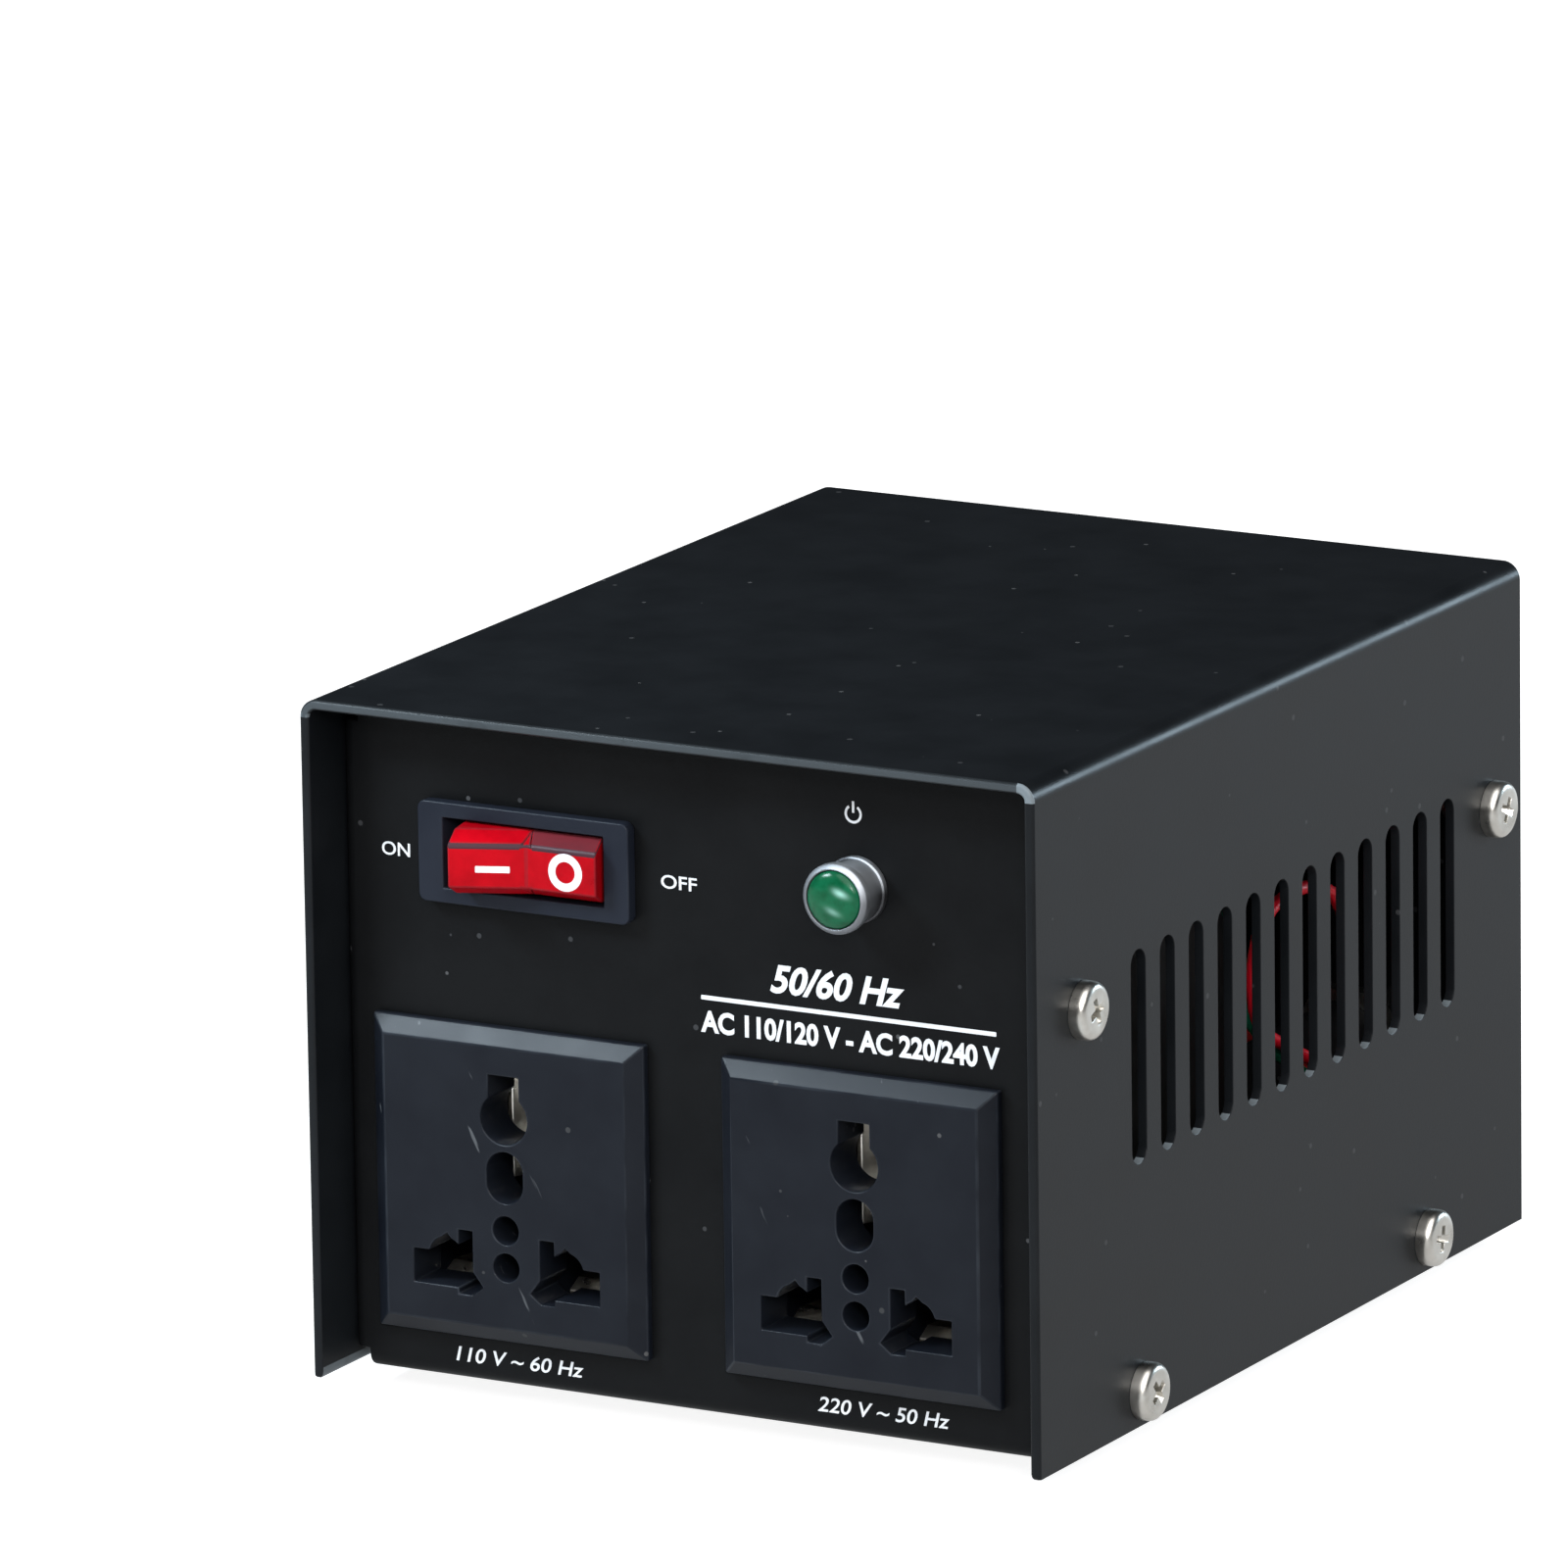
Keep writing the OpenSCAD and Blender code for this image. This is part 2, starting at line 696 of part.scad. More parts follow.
module chassis() {
    color([0.08, 0.08, 0.09]) difference() {
        chassis_shape();
        for (x = outlet_mid)
            on_front(x, outlet_z) translate([0, -over, 0])
                slab(outlet_body_w + hole_gap, outlet_body_h + hole_gap, chassis_t + 2 * over);
        on_front(switch_x, switch_z) translate([0, -over, 0])
            slab(switch_body_w + hole_gap, switch_body_h + hole_gap, chassis_t + 2 * over);
        on_front(lamp_x, lamp_z) translate([0, -over, 0])
            rod_y(lamp_thread_d + 2 * bore_gap, chassis_t + 2 * over);
        on_back(inlet_x, inlet_z) translate([0, -chassis_t - over, 0]) {
            prism_y(chassis_t + 2 * over)
                inlet_2d(inlet_body_w + hole_gap, inlet_body_h + hole_gap);
            for (x = [-1, 1])
                translate([x * inlet_screw_span / 2, 0, 0])
                    rod_y(small_screw_d + hole_gap, chassis_t + 2 * over);
        }
        on_back(selector_x, selector_z) translate([0, -chassis_t - over, 0]) {
            slab(selector_body_w + hole_gap, selector_body_h + hole_gap, chassis_t + 2 * over);
            for (x = [-1, 1])
                translate([x * selector_screw_span / 2, 0, 0])
                    rod_y(small_screw_d + hole_gap, chassis_t + 2 * over);
        }
        on_back(fuse_x, fuse_z) translate([0, -chassis_t - over, 0])
            rod_y(fuse_thread_d + 2 * bore_gap, chassis_t + 2 * over);
        translate([-chassis_w / 2 - over, 0, 0]) prism_x(chassis_w + 2 * over)
            for (p = wall_screws())
                translate(p) circle(d = screw_d + 2 * bore_gap);
        translate([0, 0, base_z - over]) {
            at_feet() cylinder(d = foot_screw_d + hole_gap, h = chassis_t + 2 * over);
            at_strap_screws() cylinder(d = strap_screw_d + hole_gap, h = chassis_t + 2 * over);
            translate([earth_x, earth_y, 0])
                cylinder(d = screw_d + hole_gap, h = chassis_t + 2 * over);
        }
    }
}

module cover_screws_right() {
    color("silver") for (p = wall_screws())
        translate([case_w / 2, p[0], p[1]]) rotate([0, 90, 0])
            pan_screw(screw_d, shank_l, screw_head_d, screw_head_h);
}

module cover_screws_left() {
    color("silver") mirror([1, 0, 0]) for (p = wall_screws())
        translate([case_w / 2, p[0], p[1]]) rotate([0, 90, 0])
            pan_screw(screw_d, shank_l, screw_head_d, screw_head_h);
}

// Feet

module rubber_feet() {
    color([0.05, 0.05, 0.05]) at_feet() difference() {
        cylinder(d1 = foot_d * foot_tip_share, d2 = foot_d, h = foot_h);
        translate([0, 0, -over]) cylinder(d = foot_head_d + 2 * foot_well_gap, h = foot_well_h + over);
        cylinder(d = foot_screw_d + hole_gap, h = foot_h + over);
    }
}

module foot_screws() {
    nut_h = foot_screw_d * nut_h_share;
    color("silver") at_feet() translate([0, 0, foot_well_h]) rotate([180, 0, 0])
        pan_screw(foot_screw_d, foot_h - foot_well_h + chassis_t + nut_h, foot_head_d, foot_head_h);
}

module foot_nuts() {
    color("silver") at_feet() translate([0, 0, floor_z]) hex_nut(foot_screw_d);
}

// Outlets: local X across, Z up from the small round hole above the pin line, Y into the case

module on_outlet(x) {
    on_front(x, outlet_z - pin_line_drop) children();
}

// Live or neutral aperture on the right-hand side
module pin_aperture_2d() {
    translate([flat_in_x, flat_low_z]) square([flat_out_x - flat_in_x, flat_high_z - flat_low_z]);
    translate([blade_x, 0]) square([blade_w, blade_l], center = true);
    translate([round_pin_x, round_pin_z]) circle(d = round_pin_d);
    translate([slant_x, slant_z]) rotate(-slant_turn) square([blade_w, slant_l], center = true);
}

module earth_aperture_2d() {
    translate([-earth_slot_w / 2, earth_round_z])
        square([earth_slot_w, earth_slot_top - earth_round_z]);
    translate([0, earth_round_z]) circle(d = earth_round_d);
    translate([0, third_hole_z]) slot_2d(third_hole_w, third_hole_h);
}

module outlet_plate() {
    side_h = plate_t - bevel_h;
    intersection() {
        translate([0, 0, -plate_h]) linear_extrude(2 * plate_h)
            polygon([
                [-plate_w / 2, 0], [-plate_w / 2, -side_h], [bevel_w - plate_w / 2, -plate_t],
                [plate_w / 2 - bevel_w, -plate_t], [plate_w / 2, -side_h], [plate_w / 2, 0]
            ]);
        translate([-plate_w, 0, 0]) prism_x(2 * plate_w)
            polygon([
                [0, -plate_h / 2], [-side_h, -plate_h / 2], [-plate_t, bevel_w - plate_h / 2],
                [-plate_t, plate_h / 2 - bevel_w], [-side_h, plate_h / 2], [0, plate_h / 2]
            ]);
    }
}

module outlet_face() {
    difference() {
        union() {
            translate([0, 0, pin_line_drop]) outlet_plate();
            translate([0, 0, pin_line_drop]) slab(outlet_body_w, outlet_body_h, face_t);
            for (x = [0, 1])
                mirror([x, 0, 0]) translate([outlet_body_w / 2, 0, pin_line_drop - clip_w / 2])
                    linear_extrude(clip_w)
                        polygon([
                            [0, chassis_t + seat_gap], [clip_out, chassis_t + seat_gap],
                            [0, chassis_t + seat_gap + clip_l]
                        ]);
        }
        translate([0, -plate_t - over, 0]) prism_y(plate_t + face_t + 2 * over) {
            pin_aperture_2d();
            mirror([1, 0]) pin_aperture_2d();
            earth_aperture_2d();
        }
        translate([0, -plate_t - over, 0]) for (z = [0, second_hole_z])
            translate([0, 0, z]) rod_y(aperture_round_d, plate_t + face_t + 2 * over);
    }
}

module outlet_body() {
    deep = outlet_l - face_t;
    difference() {
        translate([0, face_t, pin_line_drop]) slab(outlet_body_w, outlet_body_h, deep);
        translate([0, face_t - over, 0]) prism_y(deep + 2 * over) {
            for (x = [0, 1])
                mirror([x, 0]) translate([chamber_in_x, chamber_low_z])
                    square([chamber_out_x - chamber_in_x, chamber_high_z - chamber_low_z]);
            translate([-earth_chamber_w / 2, earth_chamber_low])
                square([earth_chamber_w, earth_chamber_high - earth_chamber_low]);
        }
    }
}

// A pair of spring leaves across local Z, from one place to another along X, with a lead-in
// mouth, a bridge behind and a tab at the local origin
module leaf_pair(low, high, gap) {
    back = outlet_l - leaf_t;
    start = face_t + contact_in;
    translate([low, 0, 0]) prism_x(high - low) {
        for (s = [0, 1]) mirror([0, s])
            polygon([
                [start, leaf_mouth / 2], [start + leaf_lead, gap / 2], [back, gap / 2 + leaf_t],
                [back, gap / 2 + 2 * leaf_t], [start + leaf_lead, gap / 2 + leaf_t],
                [start, leaf_mouth / 2 + leaf_t]
            ]);
        translate([back, -gap / 2 - 2 * leaf_t]) square([leaf_t, gap + 4 * leaf_t]);
    }
    translate([-tab_w / 2, back, -tab_t / 2]) cube([tab_w, leaf_t + cap_t + tab_l, tab_t]);
}

module at_pin_contacts() {
    for (x = [0, 1]) mirror([x, 0, 0]) translate([contact_x, 0, contact_z]) children();
}

module at_earth_contact() {
    translate([0, 0, earth_contact_z]) rotate([0, 90, 0]) children();
}

module at_outlet_contacts() {
    at_pin_contacts() children();
    at_earth_contact() children();
}

module outlet_contacts() {
    at_pin_contacts() leaf_pair(leaf_in_x - contact_x, leaf_out_x - contact_x, leaf_gap);
    at_earth_contact()
        leaf_pair(earth_contact_z - earth_leaf_high, earth_contact_z - earth_leaf_low, leaf_gap);
}

module outlet_cap() {
    difference() {
        translate([0, outlet_l, pin_line_drop]) slab(outlet_body_w, outlet_body_h, cap_t);
        translate([0, outlet_l - over, 0]) at_outlet_contacts()
            slab(cap_slot_w, cap_slot_h, cap_t + 2 * over);
    }
}

module outlet_left_face() {
    color([0.13, 0.15, 0.18]) on_outlet(left_outlet_x) outlet_face();
}

module outlet_left_body() {
    color([0.13, 0.15, 0.18]) on_outlet(left_outlet_x) outlet_body();
}

module outlet_left_contacts() {
    color("gold") on_outlet(left_outlet_x) outlet_contacts();
}

module outlet_left_cap() {
    color([0.1, 0.1, 0.11]) on_outlet(left_outlet_x) outlet_cap();
}

module outlet_right_face() {
    color([0.13, 0.15, 0.18]) on_outlet(right_outlet_x) outlet_face();
}

module outlet_right_body() {
    color([0.13, 0.15, 0.18]) on_outlet(right_outlet_x) outlet_body();
}

module outlet_right_contacts() {
    color("gold") on_outlet(right_outlet_x) outlet_contacts();
}

module outlet_right_cap() {
    color([0.1, 0.1, 0.11]) on_outlet(right_outlet_x) outlet_cap();
}

// Rocker switch

module switch_housing() {
    color([0.16, 0.19, 0.22]) on_front(switch_x, switch_z) difference() {
        union() {
            translate([0, -bezel_t, 0]) prism_y(bezel_t) round_rect(bezel_w, bezel_h, bezel_corner_r);
            slab(switch_body_w, switch_body_h, switch_body_l);
            // Spring clips behind the panel
            for (x = [0, 1])
                mirror([x, 0, 0]) translate([switch_body_w / 2, 0, -switch_clip_w / 2])
                    linear_extrude(switch_clip_w)
                        polygon([
                            [0, chassis_t + seat_gap], [switch_clip_out, chassis_t + seat_gap],
                            [0, chassis_t + seat_gap + switch_clip_l]
                        ]);
        }
        translate([0, -bezel_t - over, 0])
            slab(rocker_window_w, rocker_h + 2 * rocker_gap, bezel_t + over + switch_well_l);
        translate([0, pivot_y - panel_y, 0])
            cylinder(
                d = trunnion_d + 2 * bore_gap, center = true,
                h = rocker_h + 2 * (rocker_gap + trunnion_l)
            );
        for (i = [-1:1])
            translate([i * switch_tab_pitch, switch_well_l - over, 0])
                slab(tab_t + 2 * bore_gap, tab_w + 2 * bore_gap, switch_body_l);
    }
}

// The rocker in its level position, about its pivot
module level_rocker() {
    half = rocker_w / 2;
    lean = half * tan(rocker_turn);
    difference() {
        union() {
            translate([0, 0, -rocker_h / 2]) linear_extrude(rocker_h)
                polygon([
                    [0, -pivot_to_valley], [half, -pivot_to_valley - lean],
                    [half, -rocker_back], [half - rocker_back, rocker_back],
                    [rocker_back - half, rocker_back], [-half, -rocker_back],
                    [-half, -pivot_to_valley - lean]
                ]);
            cylinder(
                d = trunnion_d, center = true,
                h = rocker_h + 2 * (rocker_gap + trunnion_l - bore_gap)
            );
        }
        // Sloped flanks above and below the two faces
        for (z = [0, 1], x = [0, 1])
            mirror([x, 0, 0]) mirror([0, 0, z]) translate([0, -pivot_to_valley, rocker_h / 2])
                rotate(-rocker_turn) translate([-rocker_flank_l * tan(rocker_turn), 0, 0])
                    prism_x(rocker_w) polygon([
                        [-over, -rocker_flank_h * (1 + over / rocker_flank_l)],
                        [rocker_flank_l, 0], [rocker_flank_l, over], [-over, over]
                    ]);
    }
}

module switch_rocker() {
    color([0.85, 0.06, 0.1]) translate([switch_x, pivot_y, base_z + switch_z])
        rotate(rocker_turn) level_rocker();
}

module switch_terminals() {
    color("gold") on_front(switch_x, switch_z) for (i = [-1:1])
        translate([i * switch_tab_pitch, switch_well_l + tab_t, 0])
            slab(tab_t, tab_w, switch_body_l - switch_well_l - tab_t + tab_l);
}

module at_switch_tab_ends() {
    on_front(switch_x, switch_z) for (i = [-1:1])
        translate([i * switch_tab_pitch, switch_body_l + tab_l, 0]) children();
}

module switch_neon() {
    color([1, 0.55, 0.3]) on_front(switch_x, switch_z)
        translate([switch_tab_pitch / 2, switch_well_l - neon_l, 0]) rod_y(neon_d, neon_l);
}

// Indicator lamp: local Y into the case from the panel's face

module lamp_bezel() {
    ring_r = lamp_ring_d / 2;
    neck_r = lamp_neck_d / 2;
    well_r = lens_d / 2 + bore_gap;
    lip = lamp_lip_share * (ring_r - well_r);
    bore_r = bulb_d / 2 + hole_gap / 2;
    color("silver") on_front(lamp_x, lamp_z) rotate([90, 0, 0]) rotate_extrude()
        polygon([
            [bore_r, -lamp_thread_l], [lamp_thread_d / 2, -lamp_thread_l], [lamp_thread_d / 2, 0],
            [lamp_flange_d / 2, 0], [lamp_flange_d / 2, lamp_flange_t], [neck_r, lamp_flange_t],
            [neck_r, lamp_l - lamp_ring_l], [ring_r, lamp_l - lamp_ring_l + lip],
            [ring_r, lamp_l - lip], [ring_r - lip, lamp_l], [well_r, lamp_l],
            [well_r, lamp_l - lens_well_l], [bore_r, lamp_l - lens_well_l]
        ]);
}

module lamp_lens() {
    r = lens_d / 2;
    color([0.05, 0.5, 0.3]) on_front(lamp_x, lamp_z) rotate([90, 0, 0]) rotate_extrude()
        polygon(concat(
            [[0, lamp_l - lens_well_l + bore_gap], [r, lamp_l - lens_well_l + bore_gap]],
            [for (a = [0:10:80]) [r * cos(a), lamp_l - lens_step + (lens_step + lens_dome_h) * sin(a)]],
            [[0, lamp_l + lens_dome_h]]
        ));
}

module lamp_nut() {
    color("silver") on_front(lamp_x, lamp_z) translate([0, chassis_t, 0]) rotate([-90, 0, 0])
        difference() {
            cylinder(d = lamp_nut_af / cos(30), h = lamp_nut_h, $fn = 6);
            translate([0, 0, -over])
                cylinder(d = lamp_thread_d + 2 * bore_gap, h = lamp_nut_h + 2 * over);
        }
}

module lamp_bulb() {
    color([1, 0.9, 0.7]) on_front(lamp_x, lamp_z)
        {
            translate([0, lens_well_l - lamp_l + seat_gap, 0])
                rod_y(bulb_d, lamp_thread_l + lamp_l - lens_well_l - seat_gap);
            translate([0, lamp_thread_l, 0]) rod_y(lamp_thread_d, bulb_base_l);
        }
}

// Transformer: core, strap, bobbin and two windings

module core_laminations() {
    color([0.45, 0.45, 0.47]) at_core() translate([0, -stack_l / 2, 0]) difference() {
        prism_y(stack_l) difference() {
            translate([-core_w / 2, 0]) square([core_w, core_h]);
            for (x = [0, 1])
                mirror([x, 0]) translate([leg_w, leg_w]) square([leg_w, window_h]);
        }
        at_core_bolts() translate([0, -over, 0])
            rod_y(core_bolt_d + 2 * core_bolt_play, stack_l + 2 * over);
    }
}

module core_strap() {
    in_w = core_w + 2 * seat_gap;
    in_h = core_h + seat_gap;
    foot_w = strap_foot_l + strap_t;
    color([0.7, 0.68, 0.6]) difference() {
        at_core() translate([0, -stack_l / 2, 0]) prism_y(stack_l) difference() {
            union() {
                arch(in_w + 2 * strap_t, in_h + strap_t, strap_bend_r);
                translate([-in_w / 2 - foot_w, 0]) square([in_w + 2 * foot_w, strap_t]);
            }
            translate([0, -over]) arch(in_w, in_h + over, strap_bend_r - strap_t);
        }
        translate([0, 0, floor_z - over]) at_strap_screws()
            cylinder(d = strap_screw_d + hole_gap, h = strap_t + 2 * over);
    }
}

module core_bolts() {
    nut_h = core_bolt_d * nut_h_share;
    head_h = core_bolt_d * nut_h_share;
    color("silver") at_core() at_core_bolts() {
        translate([0, -stack_l / 2 - head_h, 0]) rotate([-90, 0, 0])
            cylinder(d = core_bolt_d * nut_af_share / cos(30), h = head_h, $fn = 6);
        translate([0, -stack_l / 2 - head_h / 2, 0])
            rod_y(core_bolt_d, stack_l + nut_h + head_h / 2 + over);
    }
}

module core_nuts() {
    color("silver") at_core() at_core_bolts()
        translate([0, stack_l / 2, 0]) rotate([-90, 0, 0]) hex_nut(core_bolt_d);
}

module strap_screws() {
    nut_h = strap_screw_d * nut_h_share;
    color("silver") at_strap_screws() translate([0, 0, base_z]) rotate([180, 0, 0])
        pan_screw(strap_screw_d, chassis_t + strap_t + nut_h, screw_head_d - over, screw_head_h);
}

module strap_nuts() {
    color("silver") at_strap_screws() translate([0, 0, floor_z + strap_t]) hex_nut(strap_screw_d);
}

// The bobbin: a tube on the middle leg with three flanges
module bobbin() {
    tube_w = 2 * (leg_w + bobbin_gap + bobbin_wall);
    tube_l = stack_l + 2 * (bobbin_gap + bobbin_wall);
    flange_w = 4 * leg_w - 2 * winding_gap;
    flange_y = stack_l + 2 * bobbin_reach;
    high = window_h - 2 * bobbin_gap;
    color([0.9, 0.88, 0.8]) at_core() translate([0, 0, leg_w + bobbin_gap]) difference() {
        union() {
            linear_extrude(high) square([tube_w, tube_l], center = true);
            for (z = [0, (high - bobbin_wall) / 2, high - bobbin_wall])
                translate([0, 0, z]) linear_extrude(bobbin_wall)
                    round_rect(flange_w, flange_y, bobbin_wall);
        }
        translate([0, 0, -over]) linear_extrude(high + 2 * over)
            square([tube_w - 2 * bobbin_wall, tube_l - 2 * bobbin_wall], center = true);
    }
}

// A taped winding between two of the bobbin's flanges
module winding(level) {
    tube_w = 2 * (leg_w + bobbin_gap + bobbin_wall + bore_gap);
    tube_l = stack_l + 2 * (bobbin_gap + bobbin_wall + bore_gap);
    high = window_h - 2 * bobbin_gap;
    room = (high - 3 * bobbin_wall) / 2;
    bottom = leg_w + bobbin_gap + bobbin_wall + level * (room + bobbin_wall);
    at_core() translate([0, 0, bottom + bore_gap]) linear_extrude(room - 2 * bore_gap) difference() {
        round_rect(
            4 * leg_w - 2 * winding_gap - 2 * winding_in,
            stack_l + 2 * (bobbin_reach - winding_in), winding_r
        );
        square([tube_w, tube_l], center = true);
    }
}

module primary_winding() {
    color([0.85, 0.65, 0.2]) winding(0);
}

module secondary_winding() {
    color([0.85, 0.75, 0.3]) winding(1);
}

// Tag strip on the strap's top, with solder pins for the leads
module tag_strip() {
    color([0.55, 0.4, 0.2]) at_core()
        translate([0, 0, core_h + seat_gap + strap_t]) {
            translate([-tag_w / 2, -tag_t / 2, 0]) cube([tag_w, tag_t, tag_h]);
            translate([-tag_w / 2, -tag_h / 2, 0]) cube([tag_w, tag_h, tag_t / 2]);
            for (i = [0:tag_count - 1])
                translate([
                    (i - (tag_count - 1) / 2) * tag_pitch - tag_pin_w / 2, -tag_pin_t / 2,
                    tag_h - tag_pin_t
                ]) cube([tag_pin_w, tag_pin_t, tag_pin_h]);
        }
}

// Mains inlet: local Y runs out of the rear panel

module inlet_2d(w, h) {
    polygon([
        [-w / 2, -h / 2], [w / 2, -h / 2], [w / 2, h / 2 - inlet_corner],
        [w / 2 - inlet_corner, h / 2], [inlet_corner - w / 2, h / 2], [-w / 2, h / 2 - inlet_corner]
    ]);
}

module at_inlet_pins() {
    for (p = [
        [-inlet_pin_pitch / 2, -inlet_pin_rise / 2], [0, inlet_pin_rise / 2],
        [inlet_pin_pitch / 2, -inlet_pin_rise / 2]
    ])
        translate([p[0], 0, p[1]]) children();
}

module inlet_body() {
    mouth_y = inlet_flange_t - inlet_mouth_l;
    color([0.1, 0.1, 0.11]) on_back(inlet_x, inlet_z) difference() {
        union() {
            prism_y(inlet_flange_t) round_rect(inlet_flange_w, inlet_flange_h, inlet_corner);
            translate([0, -inlet_body_l, 0]) prism_y(inlet_body_l + inlet_flange_t / 2)
                inlet_2d(inlet_body_w, inlet_body_h);
        }
        translate([0, mouth_y, 0]) prism_y(inlet_mouth_l + over)
            inlet_2d(inlet_mouth_w, inlet_mouth_h);
        for (x = [-1, 1])
            translate([x * inlet_screw_span / 2, -over, 0])
                rod_y(small_screw_d + hole_gap, inlet_flange_t + 2 * over);
        translate([0, -inlet_body_l - over, 0]) at_inlet_pins()
            slab(inlet_pin_w + 2 * bore_gap, inlet_pin_h + 2 * bore_gap, inlet_body_l);
    }
}

module inlet_pins() {
    tail = inlet_body_l + inlet_tab_l;
    color("silver") on_back(inlet_x, inlet_z) translate([0, -tail, 0]) at_inlet_pins()
        slab(inlet_pin_w, inlet_pin_h, tail + inlet_flange_t - inlet_pin_short);
}

module at_inlet_screws() {
    on_back(inlet_x, inlet_z) for (x = [-1, 1])
        translate([x * inlet_screw_span / 2, 0, 0]) children();
}

module inlet_screws() {
    color("silver") at_inlet_screws() translate([0, inlet_flange_t, 0]) rotate([-90, 0, 0])
        pan_screw(small_screw_d, small_screw_l, small_head_d, small_head_h);
}

module inlet_nuts() {
    color("silver") at_inlet_screws() translate([0, -chassis_t, 0]) rotate([90, 0, 0])
        hex_nut(small_screw_d);
}

// Voltage selector: a slide switch with a coloured slider

module selector_body() {
    well_w = selector_tab_w + selector_travel + 2 * selector_play;
    color([0.12, 0.12, 0.13]) on_back(selector_x, selector_z) difference() {
        union() {
            prism_y(selector_plate_t)
                round_rect(selector_plate_w, selector_plate_h, selector_plate_t);
            translate([0, -selector_body_l, 0])
                slab(selector_body_w, selector_body_h, selector_body_l + selector_plate_t / 2);
        }
        translate([0, -selector_well_l, 0])
            slab(well_w, selector_well_h, selector_well_l + selector_plate_t + over);
        for (x = [-1, 1])
            translate([x * selector_screw_span / 2, -over, 0])
                rod_y(small_screw_d + hole_gap, selector_plate_t + 2 * over);
    }
}

module selector_pins() {
    color("gold") on_back(selector_x, selector_z) for (x = [-1:1], z = [-1, 1])
        translate([
            x * selector_pin_pitch, -selector_body_l - selector_pin_l, z * selector_pin_rise
        ]) slab(selector_pin_w, selector_pin_w / 2, selector_pin_l);
}

module selector_slider() {
    grip_w = selector_tab_w / 9;
    color([0.8, 0.1, 0.08]) on_back(selector_x, selector_z)
        translate([-selector_travel / 2, selector_play - selector_well_l, 0]) difference() {
            slab(
                selector_tab_w, selector_tab_h,
                selector_well_l + selector_plate_t + selector_proud - selector_play
            );
            for (i = [-1:1])
                translate([3 * i * grip_w, selector_well_l + selector_plate_t, 0])
                    slab(grip_w, selector_tab_h + over, selector_proud);
        }
}

module at_selector_screws() {
    on_back(selector_x, selector_z) for (x = [-1, 1])
        translate([x * selector_screw_span / 2, 0, 0]) children();
}

module selector_screws() {
    color("silver") at_selector_screws() translate([0, selector_plate_t, 0]) rotate([-90, 0, 0])
        pan_screw(small_screw_d, small_screw_l, small_head_d, small_head_h);
}

module selector_nuts() {
    color("silver") at_selector_screws() translate([0, -chassis_t, 0]) rotate([90, 0, 0])
        hex_nut(small_screw_d);
}

// Fuse holder: a threaded tube with a cap that turns and holds the fuse link

module fuse_holder() {
    color([0.1, 0.1, 0.11]) on_back(fuse_x, fuse_z) difference() {
        union() {
            rod_y(fuse_flange_d, fuse_flange_t);
            translate([0, -fuse_body_l, 0]) rod_y(fuse_thread_d, fuse_body_l + fuse_flange_t / 2);
        }
        translate([0, over - fuse_body_l, 0]) rod_y(fuse_bore_d, fuse_body_l + fuse_flange_t);
    }
}

module fuse_cap() {
    color([0.14, 0.14, 0.15]) on_back(fuse_x, fuse_z) difference() {
        union() {
            translate([0, fuse_flange_t + fuse_cap_gap, 0]) rod_y(fuse_cap_d, fuse_cap_h);
            translate([0, fuse_flange_t - fuse_stem_l, 0])
                rod_y(fuse_stem_d, fuse_stem_l + fuse_cap_gap + fuse_cap_h / 2);
        }
        translate([0, fuse_flange_t + fuse_cap_gap + fuse_cap_h - fuse_slot_depth, 0])
            slab(fuse_cap_d, fuse_slot_w, fuse_slot_depth + over);
    }
}

module fuse_tabs() {
    color("gold") on_back(fuse_x, fuse_z) for (i = [0, 1])
        mirror([i, 0, 0]) translate([fuse_thread_d / 2, fuse_tab_y[i] - tab_t / 2, -tab_w / 2])
            cube([fuse_tab_l, tab_t, tab_w]);
}

module fuse_link() {
    start = over - fuse_body_l;
    color([0.8, 0.85, 0.85]) on_back(fuse_x, fuse_z) translate([0, start, 0])
        rod_y(fuse_glass_d, fuse_flange_t - fuse_stem_l - hole_gap - start);
}

module fuse_nut() {
    color("silver") on_back(fuse_x, fuse_z) translate([0, -chassis_t, 0]) rotate([90, 0, 0])
        difference() {
            cylinder(d = fuse_nut_af / cos(30), h = fuse_nut_h, $fn = 6);
            translate([0, 0, -over])
                cylinder(d = fuse_thread_d + 2 * bore_gap, h = fuse_nut_h + 2 * over);
        }
}

// Earth stud on the base

module earth_screw() {
    color("silver") translate([earth_x, earth_y, base_z]) rotate([180, 0, 0])
        pan_screw(screw_d, earth_l, screw_head_d - over, screw_head_h);
}

// Ring lugs stacked on the stud, each turned to the wire that it holds
module earth_lugs() {
    color("silver") for (i = [0:len(lug_turns) - 1])
        translate([earth_x, earth_y, floor_z + i * lug_step]) rotate(lug_turns[i]) {
            difference() {
                union() {
                    cylinder(d = lug_d, h = lug_t);
                    translate([-lug_neck_w / 2, lug_barrel_l / 2 - lug_l, 0])
                        cube([lug_neck_w, lug_l - lug_barrel_l / 2, lug_t]);
                }
                translate([0, 0, -over])
                    cylinder(d = screw_d + 2 * bore_gap, h = lug_t + 2 * over);
            }
            translate([0, -lug_l, lug_barrel_d / 2 + lug_t / 4])
                rod_y(lug_barrel_d, lug_barrel_l);
        }
}

module earth_nut() {
    color("silver") translate([earth_x, earth_y, floor_z + len(lug_turns) * lug_step])
        hex_nut(screw_d);
}

// Internal wires

module wires(routes) {
    for (r = routes) wire(r);
}

module wire_red() {
    color([0.85, 0.05, 0.1]) wire(red_route);
}

module wires_green() {
    color([0.05, 0.45, 0.25]) wires(green_routes);
}

module wires_blue() {
    color([0.1, 0.25, 0.7]) wires(blue_routes);
}

